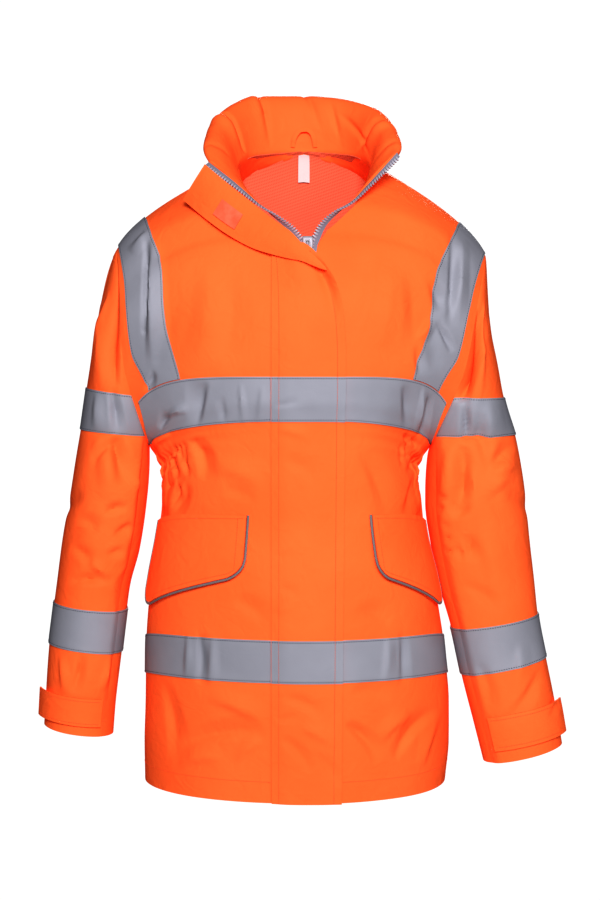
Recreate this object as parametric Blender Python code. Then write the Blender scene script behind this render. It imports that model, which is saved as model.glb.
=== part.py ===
"""Hi-vis work jacket, filled out as worn, with its storm flap turned back at the neck.

+X is the wearer's left, -Y the front, +Z up. The origin is where the shoulders and the
base of the neck hold the jacket. Every table below is in millimetres. Each cloth piece is a
wall worked out from a surface of two parameters, and what lies on a panel is made from that
panel's own points, moved out along its normals.
"""
import math

import bpy
import numpy as np

MM = 0.001

# Driving sizes, in millimetres.
CLOTH = 1.6            # coated shell cloth, sewn double at its edges
TAPE = 1.1             # reflective tape
LINING = 1.1           # mesh lining
FLAP = 2.4             # storm flap, two layers of cloth
POCKET_FLAP = 2.2
ZIP_TAPE = 1.2
SEAM_GAP = 0.3         # between two pieces at a seam
LAY_GAP = 0.4          # between a panel and what lies on it
HEM_Z = -742.0
UNDERARM_Z = -328.0
SHOULDER_TIP_Z = -85.0
ZIP_X = 17.0           # the zip's centre line
ARMHOLE_DEPTH = 64.0   # half of the armhole, front to back
ARMHOLE_BOW = 11.0     # how far the armhole seam bows out at chest height
SLEEVE_SEAM = 145.0    # degrees round the sleeve to the seams of its under piece


def table(columns, *rows):
    """Rows of numbers as named columns."""
    names = columns.split()
    return {name: np.array([row[i] for row in rows], float) for i, name in enumerate(names)}


def slopes_of(keys, values):
    """Slopes for a cubic that never swings past the rows on both sides of it."""
    steps = np.diff(values) / np.diff(keys)
    before, after = steps[:-1], steps[1:]
    same = before * after > 0
    inner = np.where(same, 2 * before * after / np.where(same, before + after, 1.0), 0.0)
    return np.concatenate([steps[:1], inner, steps[-1:]])


def smooth(keys, values, at):
    """A smooth curve through the table's rows, at any key."""
    at = np.clip(np.asarray(at, float), keys[0], keys[-1])
    slopes = slopes_of(keys, values)
    i = np.clip(np.searchsorted(keys, at, side="right") - 1, 0, len(keys) - 2)
    width = keys[i + 1] - keys[i]
    f = (at - keys[i]) / width
    rise = f * f * (3 - 2 * f)
    bend = width * f * (1 - f) * ((1 - f) * slopes[i] - f * slopes[i + 1])
    return values[i] * (1 - rise) + values[i + 1] * rise + bend


def look_up(rows, key, column, at):
    return smooth(rows[key], rows[column], at)


# The torso by level: 0 hem, 1 underarm, 2 top of the chest band, 3 foot of the open zip,
# 4 front end of the neckline, 5 shoulder seam. right is the wearer's right, at -X.
FRONT_LEVELS = table(
    "level  edge_y  edge_z  sweep  late  even",
    (0.00,  -128,   -742,   90,   2.5,  0.00),
    (0.25,  -128,   -630,   90,   2.5,  0.00),
    (0.50,  -123,   -518,   90,   2.5,  0.00),
    (0.75,  -116,   -405,   90,   2.5,  0.00),
    (1.00,  -118,   -293,   86,   1.2,  0.00),
    (1.50,  -121,   -267,   72,   1.2,  0.00),
    (2.00,  -121,   -241,   63,   2.5,  0.00),
    (2.50,  -111,   -165,   56,   2.1,  0.00),
    (3.00,   -90,    -88,   52,   1.8,  0.00),
    (3.50,   -80,    -69,   52,   1.5,  0.12),
    (4.00,   -69,    -41,   56,   1.3,  0.25),
    (4.50,   -38,    -14,   65,   1.1,  0.42),
    (5.00,     0,     14,   78,   1.0,  0.58),
)
EDGE_X = table(
    "level  right  left",
    (0.0,    9.0,  25.0),
    (2.8,    9.0,  25.0),
    (3.0,    5.0,  29.0),
    (3.5,   -7.0,  40.0),
    (4.0,  -43.0,  71.0),
    (4.5,  -60.0,  87.0),
    (5.0,  -68.0,  94.0),
)
BACK_LEVELS = table(
    "level  edge_x  edge_y  edge_z  sweep  late  even",
    (0.00,   2,   112,   -742,   90,   2.5,  0.00),
    (0.25,   3,   113,   -640,   90,   2.5,  0.00),
    (0.50,   4,   108,   -538,   90,   2.5,  0.00),
    (0.75,   5,    99,   -425,   90,   2.5,  0.00),
    (1.00,   6,   102,   -304,   86,   1.2,  0.00),
    (1.50,   7,   107,   -278,   72,   1.2,  0.00),
    (2.00,   7,   109,   -252,   63,   2.5,  0.00),
    (2.50,   9,   112,   -170,   56,   2.1,  0.00),
    (3.00,  11,   109,    -90,   52,   1.8,  0.00),
    (3.50,  12,    98,    -20,   52,   1.5,  0.12),
    (4.00,  13,    80,     42,   56,   1.3,  0.25),
    (4.50,  13,    62,     36,   65,   1.1,  0.75),
    (5.00,  13,     0,     14,   78,   1.0,  0.58),
)
SIDE_SEAM = table(
    "z      right   left",
    (-742,  -185,   189),
    (-695,  -185,   193),
    (-645,  -184,   193),
    (-582,  -183,   187),
    (-545,  -181,   182),
    (-495,  -176,   174),
    (-445,  -168,   163),
    (-400,  -162,   157),
    (-362,  -162,   152),
    (-345,  -168,   158),
    (-328,  -178,   169),
)
ARMHOLE = table(
    "level  angle",
    (1.0,   180.0),
    (1.5,   152.0),
    (2.0,   126.0),
    (2.5,   101.0),
    (3.0,    78.0),
    (3.5,    59.0),
    (4.0,    41.0),
    (4.5,    21.0),
    (5.0,     0.0),
)
ARMHOLE_TIP = 0.90           # its depth near the shoulder tip, as a share of the full depth
LEFT_SHOULDER_DROP = 10.0    # the left shoulder tip hangs this much lower
NECK_HALF_WIDTH = 81.0       # of the back's neckline, a quarter of an ellipse on each side
NECK_DEPTH = 80.0
SHOULDER_TIP_X = {"right": -215.0, "left": 235.0}
UNDERARM_X = {"right": -178.0, "left": 169.0}
SIGN = {"right": -1.0, "left": 1.0}

# Where the brace tapes' edges run, as the share of a row from its inner to its outer end.
BRACE_COLUMNS = (0.64, 0.90)
BRACE = table(
    "level  inner  outer",
    (0.0,   0.640,  0.900),
    (1.0,   0.640,  0.900),
    (2.0,   0.625,  0.860),
    (2.5,   0.690,  0.930),
    (3.0,   0.700,  0.945),
    (4.0,   0.680,  0.955),
    (5.0,   0.630,  0.975),
)
HIP_BAND = (0.318, 0.430)       # levels of the hip band's lower and upper edge
CHEST_BAND = (1.0, 2.0)

# Gathers of the waist elastic at each side, and the largest soft folds of the panels:
# where a fold runs on the panel, its half width and its depth.
WAIST = {"level": 0.87, "half_height": 0.085, "column": 0.93, "half_width": 0.13, "waves": 4.0,
         "depth": 2.6}
FRONT_FOLDS = table(
    "column0  z0  column1  z1  half_width  depth",
    (0.93, -325,   0.55, -292,   9.0,  -3.0),
    (0.90, -383,   0.62, -445,  10.0,  -3.0),
    (0.97, -283,   0.60, -325,  12.0,   2.5),
    (0.80, -225,   0.52, -120,  14.0,  -3.0),
)
BACK_FOLDS = table(
    "column0  z0  column1  z1  half_width  depth",
    (0.92, -325,   0.50, -300,  11.0,  -3.5),
    (0.90, -383,   0.55, -430,  11.0,  -3.0),
    (0.70, -220,   0.35,  -75,  16.0,  -3.5),
)
ROW_SPAN = 190.0       # from a panel's inner to its outer edge, along the cloth

# Grid lines. The levels hold every band edge, so that a band is made from panel points, and
# the cap of a sleeve has the same levels as the armhole that it meets.
LOW_LEVELS = (0.0, 0.06, 0.12, 0.20, HIP_BAND[0], HIP_BAND[1], 0.50, 0.58, 0.66, 0.73,
              0.79, 0.83, 0.87, 0.91, 0.955)
CAP_LEVELS = (1.5, 2.15, 2.4, 2.7, 3.0, 3.25, 3.5, 3.75, 4.0, 4.33, 4.67, 5.0)
PANEL_LEVELS = np.array(sorted(LOW_LEVELS + (1.0, 1.25, 2.0) + CAP_LEVELS))
FRONT_COLUMNS = np.array([0.0, 0.115, 0.26, 0.39, 0.52, BRACE_COLUMNS[0], 0.725, 0.80, 0.85,
                          BRACE_COLUMNS[1], 0.935, 0.97, 1.0])
BAND_START_X = {"right": -25.9, "left": 46.0}    # beside the storm flap, and under it
BACK_COLUMNS = np.array([0.0, 0.16, 0.32, 0.48, BRACE_COLUMNS[0], 0.77, 0.85,
                         BRACE_COLUMNS[1], 0.95, 1.0])


def armhole_point(side, angle, gap=0.0):
    """The armhole seam: 0 degrees at the shoulder tip, 90 at the front, 180 at the underarm."""
    turn = np.radians(angle)
    tip_x, under_x = SHOULDER_TIP_X[side], UNDERARM_X[side]
    share = (1 - np.cos(turn)) / 2
    bow = SIGN[side] * ARMHOLE_BOW * np.sin(turn) ** 4 * np.clip(1.6 * share, 0, 1)
    x = tip_x + (under_x - tip_x) * share + bow + SIGN[side] * gap
    y = -ARMHOLE_DEPTH * np.sin(turn) * (ARMHOLE_TIP + (1 - ARMHOLE_TIP) * share)
    z = SHOULDER_TIP_Z + (UNDERARM_Z - SHOULDER_TIP_Z) * share
    if side == "left":
        z = z - LEFT_SHOULDER_DROP * (1 - share)
    return np.stack([x, y, z], axis=-1)


def armhole_normal(angle):
    turn = np.radians(angle)
    return np.stack([np.zeros_like(turn), -np.sin(turn), np.cos(turn)], axis=-1)


def fold_lift(starts, ends, half_widths, depths, across, up):
    """Soft troughs and ridges along straight lines, fading out from start to end."""
    lift = np.zeros(np.shape(across))
    for (x0, z0), (x1, z1), half_width, depth in zip(starts, ends, half_widths, depths):
        run, rise = x1 - x0, z1 - z0
        length = math.hypot(run, rise)
        share = ((across - x0) * run + (up - z0) * rise) / length ** 2
        off = ((up - z0) * run - (across - x0) * rise) / length
        fade = np.clip(share * 6, 0, 1) * np.clip((1 - share) * 2, 0, 1)
        lift = lift + depth * fade * np.exp(-(off / half_width) ** 2)
    return lift


class Panel:
    """Half of the front or back: a surface by column, 0 inner to 1 outer edge, and level."""

    def __init__(self, side, face):
        self.side, self.face = side, face
        self.front = face == "front"
        self.folds = FRONT_FOLDS if self.front else BACK_FOLDS
        self.levels = FRONT_LEVELS if self.front else BACK_LEVELS

    def inner(self, level):
        rows = self.levels
        y = look_up(rows, "level", "edge_y", level)
        z = look_up(rows, "level", "edge_z", level)
        if self.front:
            x = np.interp(level, EDGE_X["level"], EDGE_X[self.side])
        else:
            neck = np.clip(level - 4, 0, 1)
            x = look_up(rows, "level", "edge_x", level)
            x = x + SIGN[self.side] * NECK_HALF_WIDTH * np.sin(neck * math.pi / 2)
            y = np.where(level > 4, NECK_DEPTH * np.cos(neck * math.pi / 2), y)
        return np.stack([x, y, z], axis=-1)

    def outer(self, level):
        z = HEM_Z + (UNDERARM_Z - HEM_Z) * np.clip(level, 0, 1)
        seam = np.stack([look_up(SIDE_SEAM, "z", self.side, z), np.zeros_like(z), z], axis=-1)
        angle = np.interp(level, ARMHOLE["level"], ARMHOLE["angle"])
        loop = armhole_point(self.side, angle if self.front else -angle)
        return np.where((np.asarray(level) > 1)[..., None], loop, seam)

    def base(self, share, level):
        """A row is the arc of an ellipse from the inner edge, facing front, to the outer edge.

        It drops late, near its outer end, and more evenly towards the shoulder seam.
        """
        inner, outer = self.inner(level), self.outer(level)
        sweep = np.radians(look_up(self.levels, "level", "sweep", level))
        across = np.sin(share * sweep) / np.sin(sweep)
        deep = (1 - np.cos(share * sweep)) / (1 - np.cos(sweep))
        late = look_up(self.levels, "level", "late", level)
        even = look_up(self.levels, "level", "even", level)
        drop = across * even + deep ** late * (1 - even)
        return inner + (outer - inner) * np.stack([across, deep, drop], axis=-1)

    def share(self, column, level):
        """Columns spread so that two of them run along the brace tape's edges."""
        low, high = BRACE_COLUMNS
        first = look_up(BRACE, "level", "inner", level)
        last = look_up(BRACE, "level", "outer", level)
        inside = column * first / low
        middle = first + (column - low) * (last - first) / (high - low)
        beyond = last + (column - high) * (1 - last) / (1 - high)
        return np.where(column < low, inside, np.where(column < high, middle, beyond))

    def column_at(self, x, level):
        """The column where a row passes x."""
        inner, outer = self.inner(level)[..., 0], self.outer(level)[..., 0]
        sweep = np.radians(look_up(self.levels, "level", "sweep", level))
        across = np.clip((x - inner) / (outer - inner), 0, 1)
        share = np.arcsin(across * np.sin(sweep)) / sweep
        return share * BRACE_COLUMNS[0] / look_up(BRACE, "level", "inner", level)

    def at(self, x, z):
        """The column and level of the surface point that has this x and z."""
        step = 1e-3
        level = np.interp(z, [HEM_Z, UNDERARM_Z, -241, -88, -20], [0, 1, 2, 3, 4.2]) + 0 * x
        for _ in range(30):
            column = self.column_at(x, level)
            height = self.base(self.share(column, level), level)[..., 2]
            above = self.base(self.share(column, level + step), level + step)[..., 2]
            move = (z - height) * step / np.maximum(above - height, 1e-5)
            level = np.clip(level + np.clip(move, -0.2, 0.2), 0, 4.99)
        return self.column_at(x, level), level

    def lift(self, column, level):
        rows = self.folds
        height = look_up(self.levels, "level", "edge_z", level)
        folds = fold_lift(zip(rows["column0"] * ROW_SPAN, rows["z0"]),
                          zip(rows["column1"] * ROW_SPAN, rows["z1"]),
                          rows["half_width"], rows["depth"], column * ROW_SPAN, height)
        near = np.exp(-((level - WAIST["level"]) / WAIST["half_height"]) ** 2)
        near = near * np.exp(-(((column - WAIST["column"]) / WAIST["half_width"]) ** 4))
        wave = np.sin((1 - column) / WAIST["half_width"] * WAIST["waves"] * math.pi / 2)
        edge = np.clip((1 - column) * 12, 0, 1) * np.clip(column * 5, 0, 1)
        return (folds + near * WAIST["depth"] * wave) * edge

    def normal(self, column, level):
        step = 1e-3
        c0, c1 = np.clip(column - step, 0, 1), np.clip(column + step, 0, 1)
        l0, l1 = np.clip(level - step, 0, 5), np.clip(level + step, 0, 5)
        along = self.base(self.share(c1, level), level) - self.base(self.share(c0, level), level)
        up = self.base(self.share(column, l1), l1) - self.base(self.share(column, l0), l0)
        normal = np.cross(along, up) * SIGN[self.side] * (1 if self.front else -1)
        return unit(normal)

    def seam_normal(self, column, level):
        """Where two panels meet they share one normal, so their walls end side by side."""
        normal = self.normal(column, level)
        side = np.zeros_like(normal)
        side[..., 0] = SIGN[self.side]
        shoulder = normal.copy()
        shoulder[..., 1] = 0.0
        shoulder = unit(shoulder)
        angle = np.interp(level, ARMHOLE["level"], ARMHOLE["angle"])
        loop = armhole_normal(angle if self.front else -angle) + 0 * normal
        at_side = (column > 0.999) & (level <= 1)
        at_loop = (column > 0.999) & (level > 1)
        at_top = (level > 4.999) & (column <= 0.999)
        normal = np.where(at_side[..., None], side, normal)
        normal = np.where(at_loop[..., None], loop, normal)
        return np.where(at_top[..., None], shoulder, normal)

    def points(self, column, level, out=0.0):
        """Surface points, kept half a seam gap from the side and shoulder seams."""
        normal = self.seam_normal(column, level)
        point = self.base(self.share(column, level), level)
        point = point + normal * (self.lift(column, level) + out)[..., None]
        back = 1.0 if not self.front else -1.0
        seam = np.clip((column - 0.95) * 20, 0, 1) * (level <= 1) + np.clip(level - 4, 0, 1)
        point[..., 1] += back * SEAM_GAP / 2 * np.clip(seam, 0, 1)
        armhole = np.clip((column - 0.95) * 20, 0, 1) * (level > 1)
        point[..., 0] -= SIGN[self.side] * SEAM_GAP / 2 * armhole
        return point, normal


def unit(vectors):
    return vectors / np.maximum(np.linalg.norm(vectors, axis=-1, keepdims=True), 1e-9)


def grid(columns, levels):
    level, column = np.meshgrid(levels, columns, indexing="ij")
    return column, level


def wall(name, patches, thickness, material):
    """A closed wall: each patch is outer points and normals on a grid, welded where they meet.

    Every quad is split along the same diagonal, so that pieces made from one panel's points
    keep their distance from it everywhere.
    """
    index, outer, inner, faces = {}, [], [], []
    for points, normals in patches:
        rows, columns = points.shape[:2]
        ids = np.zeros((rows, columns), int)
        for r in range(rows):
            for c in range(columns):
                key = tuple(np.round(points[r, c], 3))
                if key not in index:
                    index[key] = len(outer)
                    outer.append(points[r, c])
                    inner.append(points[r, c] - normals[r, c] * thickness)
                ids[r, c] = index[key]
        turn = np.cross(np.diff(points, axis=1)[:-1], np.diff(points, axis=0)[:, :-1])
        order = 1 if np.sum(turn * normals[:-1, :-1]) > 0 else -1
        for r in range(rows - 1):
            for c in range(columns - 1):
                low, right = ids[r, c], ids[r, c + 1]
                high, left = ids[r + 1, c + 1], ids[r + 1, c]
                for face in ([low, right, high], [low, high, left]):
                    if len(set(face)) == 3:
                        faces.append(face[::order])
    count = len(outer)
    edges = {}
    for face in faces:
        for a, b in zip(face, face[1:] + face[:1]):
            edges[(a, b)] = edges.get((a, b), 0) + 1
    rims = [[b, a, a + count, b + count] for (a, b) in edges if (b, a) not in edges]
    backs = [[i + count for i in reversed(face)] for face in faces]
    return solid(name, outer + inner, faces + backs + rims, material)


def solid(name, points, faces, material):
    mesh = bpy.data.meshes.new(name)
    mesh.from_pydata([tuple(float(v) * MM for v in p) for p in points], [], faces)
    mesh.validate()
    mesh.shade_smooth()
    mesh.set_sharp_from_angle(angle=math.radians(40))
    mesh.materials.append(material)
    item = bpy.data.objects.new(name, mesh)
    bpy.context.collection.objects.link(item)
    return item


def finish(name, colour, roughness, metallic=0.0):
    material = bpy.data.materials.new(name)
    material.use_nodes = True
    shader = material.node_tree.nodes["Principled BSDF"]
    shader.inputs["Base Color"].default_value = (*colour, 1.0)
    shader.inputs["Roughness"].default_value = roughness
    shader.inputs["Metallic"].default_value = metallic
    return material


def build_fronts(panels, shell):
    for side in ("right", "left"):
        patch = panels[side, "front"].points(*grid(FRONT_COLUMNS, PANEL_LEVELS))
        wall("front_" + side, [patch], CLOTH, shell)


def build_back(panels, shell):
    patches = [panels[side, "back"].points(*grid(BACK_COLUMNS, PANEL_LEVELS)) for side in SIGN]
    weld_middle(patches, PANEL_LEVELS)
    wall("back", patches, CLOTH, shell)


def weld_middle(patches, levels):
    """The two halves of the back share the points of its centre line."""
    shared = levels <= 4.0001
    for k in (0, 1):
        middle = (patches[0][k][shared, 0] + patches[1][k][shared, 0]) / 2
        for patch in patches:
            patch[k][shared, 0] = middle


def band_on(panel, columns, levels):
    return panel.points(*grid(columns, levels), out=LAY_GAP + TAPE)


def build_bands(panels, tape):
    """The hip band meets at the side seams, and the chest band stops short of the armholes."""
    chest = PANEL_LEVELS[(PANEL_LEVELS >= CHEST_BAND[0]) & (PANEL_LEVELS <= CHEST_BAND[1])]
    for name, levels, last in (("hip", np.array(HIP_BAND), None), ("chest", chest, -2)):
        for side in SIGN:
            panel = panels[side, "front"]
            first = 1 if side == "right" else 0
            column, level = grid(FRONT_COLUMNS[first:last], levels)
            column[:, 0] = panel.column_at(BAND_START_X[side], levels)
            patch = panel.points(column, level, out=LAY_GAP + TAPE)
            wall(f"{name}_band_front_{side}", [patch], TAPE, tape)
        lines = BACK_COLUMNS[:last] if last is None else BACK_COLUMNS[:last + 1]
        patches = [band_on(panels[side, "back"], lines, levels) for side in SIGN]
        weld_middle(patches, levels)
        wall(f"{name}_band_back", patches, TAPE, tape)


def build_braces(panels, tape):
    """Tapes over the shoulders, from the chest band in front to the chest band behind."""
    levels = PANEL_LEVELS[PANEL_LEVELS >= CHEST_BAND[1]].copy()
    levels[0] += 0.012
    for (side, face), panel in panels.items():
        lines = FRONT_COLUMNS if face == "front" else BACK_COLUMNS
        columns = lines[(lines >= BRACE_COLUMNS[0]) & (lines <= BRACE_COLUMNS[1])]
        patch = band_on(panel, columns, levels)
        wall(f"brace_{face}_{side}", [patch], TAPE, tape)


# Sleeves by row, 0 at the cuff and 1 at the underarm: the outer line, the inner line, half
# the depth front to back, and where the middle lies front to back.
SLEEVE_ROWS = {
    "right": table(
        "row    outer_x  outer_z  inner_x  inner_z  half_y  mid_y",
        (0.00,  -309,   -671,   -224,   -684,   45,   -8),
        (0.10,  -307,   -637,   -221,   -648,   46,   -8),
        (0.26,  -303,   -578,   -214,   -590,   48,   -6),
        (0.39,  -297,   -530,   -208,   -540,   50,   -3),
        (0.49,  -292,   -492,   -203,   -502,   53,    0),
        (0.61,  -286,   -444,   -191,   -456,   58,    3),
        (0.74,  -277,   -392,   -183,   -405,   63,    3),
        (0.88,  -268,   -342,   -178,   -353,   65,    1),
        (1.00,  -262,   -307,   -178.4, -328.5, 66,    0),
    ),
    "left": table(
        "row    outer_x  outer_z  inner_x  inner_z  half_y  mid_y",
        (0.00,   329,   -690,   233,   -712,   42,   -34),
        (0.10,   322,   -648,   222,   -669,   44,   -32),
        (0.26,   309,   -584,   206,   -606,   46,   -26),
        (0.39,   300,   -532,   194,   -550,   48,   -18),
        (0.49,   296,   -488,   181,   -504,   51,   -10),
        (0.61,   291,   -440,   170,   -452,   56,    -4),
        (0.74,   286,   -388,   163,   -398,   62,    0),
        (0.88,   279,   -342,   163,   -350,   65,    0),
        (1.00,   273,   -314,   169.4, -328.5, 66,    0),
    ),
}
# The cap, above the underarm, by level of the armhole: its outer line and how many degrees
# its rows turn from there to the armhole seam.
CAP_ROWS = {
    "right": table(
        "level  outer_x  outer_z  sweep",
        (1.50,  -262,    -307,   145),
        (2.15,  -254,    -256,   118),
        (2.50,  -248,    -222,   108),
        (3.00,  -240,    -178,    98),
        (3.50,  -234,    -143,    94),
        (4.00,  -228,    -117,    90),
        (4.50,  -222,     -99,    90),
        (5.00,  -215.3,   -85,    90),
    ),
    "left": table(
        "level  outer_x  outer_z  sweep",
        (1.50,   273,    -314,   145),
        (2.15,   259,    -268,   118),
        (2.50,   251,    -230,   108),
        (3.00,   243,    -190,    98),
        (3.50,   239,    -156,    94),
        (4.00,   237,    -130,    90),
        (4.50,   236,    -111,    90),
        (5.00,   235.3,   -95,    90),
    ),
}
TUBE_SPAN = 372.0      # from the cuff to row 1, along the cloth
CAP_SPAN = 63.0        # each level of the cap
ROUND_STEP = 1.05      # cloth round the sleeve for each degree
LOWER_SLEEVE_BAND = {"right": (0.282, 0.418), "left": (0.26, 0.39)}
UPPER_SLEEVE_BAND = (1.0, 1.65)
SLEEVE_FOLDS = {
    "right": table(
        "turn  up    to_turn  to_up  half_width  depth",
        (60,   286,  -30,     248,   8.0,   -3.0),
        (100,  258,   10,     220,   8.0,   -2.5),
        (110,  352,   60,     302,   9.0,   -3.0),
        (-60,  302, -120,     258,   9.0,   -3.0),
        (70,   500,   25,     420,  10.0,    2.5),
    ),
    "left": table(
        "turn  up    to_turn  to_up  half_width  depth",
        (88,   400,   72,     275,   9.0,   -6.0),
        (60,   286,  -20,     248,   8.0,   -3.0),
        (110,  340,   50,     231,   9.0,   -3.0),
        (-60,  302, -120,     258,   9.0,   -3.0),
        (104,  500,   96,     395,   8.0,    4.0),
    ),
}
SLEEVE_LEVELS = {
    side: np.array((0.0, 0.07, 0.14, 0.21) + LOWER_SLEEVE_BAND[side]
                   + (0.48, 0.53, 0.58, 0.63, 0.68, 0.74, 0.82, 0.91)
                   + tuple(level - 0.5 for level in CAP_LEVELS))
    for side in SIGN
}
UNDER_SWEEP = 28.0     # degrees of the armhole on each side of the underarm
UNDER_GAP = 0.9        # degrees left free at each end of that stretch
SLEEVE_TURNS = np.linspace(-1, 1, 15)
UNDER_TURNS = np.linspace(-1, 1, 5)


def near_armhole(row):
    """How far a sleeve row has turned from the tube's section to the armhole's."""
    share = np.clip((row - 0.78) / 0.22, 0, 1)
    return share * share * (3 - 2 * share)


class Sleeve:
    """One sleeve by row and turn: turn 0 is its outer line, plus is towards the front."""

    def __init__(self, side):
        self.side = side
        self.rows, self.cap = SLEEVE_ROWS[side], CAP_ROWS[side]

    def tube(self, turn, row):
        """Below the armhole: an ellipse, turned so that it is square to the sleeve."""
        outer_x, outer_z, inner_x, inner_z, half, middle = (
            look_up(self.rows, "row", column, row)
            for column in ("outer_x", "outer_z", "inner_x", "inner_z", "half_y", "mid_y"))
        share = (1 - np.cos(turn)) / 2
        x = outer_x + (inner_x - outer_x) * share
        z = outer_z + (inner_z - outer_z) * share
        return np.stack([x, middle - half * np.sin(turn), z], axis=-1)

    def cap_point(self, part, row):
        """Over the armhole: the row runs from the front seam over the outer line to the back."""
        level = row + 0.5
        outer_x = look_up(self.cap, "level", "outer_x", level)
        outer_z = look_up(self.cap, "level", "outer_z", level)
        sweep = np.radians(look_up(self.cap, "level", "sweep", level))
        angle = np.interp(level, ARMHOLE["level"], ARMHOLE["angle"])
        end = armhole_point(self.side, angle * np.where(part < 0, -1, 1), gap=SEAM_GAP)
        turn = np.abs(part) * sweep
        share = (1 - np.cos(turn)) / (1 - np.cos(sweep))
        x = outer_x + (end[..., 0] - outer_x) * share
        z = outer_z + (end[..., 2] - outer_z) * share
        return np.stack([x, end[..., 1] * np.sin(turn) / np.sin(sweep), z], axis=-1)

    def base(self, part, row):
        seam = np.radians(SLEEVE_SEAM)
        tube = self.tube(part * seam, row)
        cap = self.cap_point(part, np.maximum(row, 1.0))
        return tube + (cap - tube) * near_armhole(row)[..., None]

    def lift(self, part, row):
        rows = SLEEVE_FOLDS[self.side]
        up = TUBE_SPAN * np.minimum(row, 1) + CAP_SPAN * np.maximum(row - 1, 0)
        folds = fold_lift(zip(rows["turn"] * ROUND_STEP, rows["up"]),
                          zip(rows["to_turn"] * ROUND_STEP, rows["to_up"]),
                          rows["half_width"], rows["depth"],
                          part * SLEEVE_SEAM * ROUND_STEP, up)
        return folds * np.clip((1 - np.abs(part)) * 8, 0, 1)

    def facing(self, part, row, base):
        """The outward normal of a sleeve surface."""
        step = 2e-3
        ahead, behind = np.clip(part + step, -1, 1), np.clip(part - step, -1, 1)
        above, below = np.clip(row + step, 0, 4.5), np.clip(row - step, 0, 4.49)
        around = base(ahead, row) - base(behind, row)
        up = base(part, above) - base(part, below)
        return unit(np.cross(up, around) * SIGN[self.side])

    def seam_normal(self, normal, part, row):
        """Both pieces end along a seam with the same normal, from the sleeve's middle."""
        turn = np.radians(SLEEVE_SEAM * np.sign(part))
        middle = (self.tube(0 * turn, row) + self.tube(0 * turn + math.pi, row)) / 2
        spoke = unit(self.tube(turn, row) - middle)
        at_seam = (np.abs(part) > 0.999) & (row < 1)
        return np.where(at_seam[..., None], spoke, normal)

    def upper(self, part, row, out=0.0):
        normal = self.seam_normal(self.facing(part, row, self.base), part, row)
        angle = np.interp(row + 0.5, ARMHOLE["level"], ARMHOLE["angle"]) * np.sign(part)
        at_loop = (np.abs(part) > 0.999) & (row >= 1) | (row > 4.4)
        normal = np.where(at_loop[..., None], armhole_normal(angle), normal)
        point = self.base(part, row) + normal * (self.lift(part, row) + out)[..., None]
        return point, normal

    def under_base(self, part, row):
        """The under piece closes the tube between the two seams."""
        seam = np.radians(SLEEVE_SEAM)
        inset = SEAM_GAP / 60.0
        tube = self.tube(math.pi + part * (math.pi - seam - inset), row)
        top = armhole_point(self.side, 180 + part * (UNDER_SWEEP - UNDER_GAP), gap=SEAM_GAP)
        return tube + (top - tube) * near_armhole(row)[..., None]

    def under(self, part, row, out=0.0):
        normal = self.seam_normal(self.facing(part, row, self.under_base), -part, row)
        return self.under_base(part, row) + normal * out, normal


def build_sleeves(shell, tape):
    for side in SIGN:
        sleeve = Sleeve(side)
        rows = SLEEVE_LEVELS[side]
        patch = sleeve.upper(*grid(SLEEVE_TURNS, rows))
        wall("sleeve_upper_" + side, [patch], CLOTH, shell)
        patch = sleeve.under(*grid(UNDER_TURNS, rows[rows <= 1]))
        wall("sleeve_under_" + side, [patch], CLOTH, shell)
        out = LAY_GAP + TAPE
        lower = np.array(LOWER_SLEEVE_BAND[side])
        patch = sleeve.upper(*grid(SLEEVE_TURNS, lower), out=out)
        wall("sleeve_band_lower_" + side, [patch], TAPE, tape)
        patch = sleeve.under(*grid(UNDER_TURNS, lower), out=out)
        wall("sleeve_band_under_" + side, [patch], TAPE, tape)
        patch = sleeve.upper(*grid(SLEEVE_TURNS, np.array(UPPER_SLEEVE_BAND)), out=out)
        wall("sleeve_band_upper_" + side, [patch], TAPE, tape)


# The storm flap, sewn to the wearer's right front: its sewn edge, its free edge by level, and
# how far it stands off the fronts across its width, plain below and puffed out at the top.
FLAP_SEAM_X = -25.0
FLAP_EDGE = table(
    "level  edge_x  puff",
    (0.00,   56,   0.0),
    (1.00,   59,   0.0),
    (2.20,   60,   0.0),
    (2.55,   55,   0.2),
    (2.70,   46,   0.6),
    (2.80,   38,   0.9),
    (2.90,   31,   1.0),
    (2.96,   26,   1.0),
)
FLAP_STAND = table(
    "share  plain  puffed",
    (0.00,   0.4,   0.4),
    (0.25,   3.4,   4.0),
    (0.50,   3.8,  11.0),
    (0.75,   3.4,  15.0),
    (1.00,   2.2,  15.0),
)
FLAP_SHARES = np.array([0.0, 0.22, 0.44, 0.58, 0.8, 1.0])
# The top of the flap is turned back like a lapel, with its inside showing: the fold, and the
# free edge that lies over the front and the collar.
LAPEL = table(
    "fold_x  fold_y  fold_z  free_x  free_y  free_z",
    (  38,   -120,   -117,     40,   -121,   -126),
    (  32,   -119,   -109,     31,   -120,   -119),
    (  26,   -118,   -103,     21,   -119,   -112),
    (  18,   -116,    -95,     10,   -117,   -107),
    (   8,   -112,    -84,     -4,   -113,   -104),
    (  -2,   -106,    -73,    -16,   -108,   -101),
    ( -25,    -96,    -56,    -45,   -100,    -92),
    ( -51,    -86,    -35,    -75,    -90,    -76),
    ( -77,    -75,    -14,   -104,    -77,    -55),
    (-105,    -63,     10,   -132,    -52,    -31),
)
LAPEL_BULGE = 3.0
LAPEL_THICK = 2.6
PATCH_SPAN = (6.95, 7.85)     # lapel rows under the hook-and-loop patch
PATCH_SHARE = (0.38, 0.80)   # from the fold towards the free edge
PATCH_THICK = 1.0
PATCH_HIGH = 1.2             # its outer face over the turned-back top, less the laying gap


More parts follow.
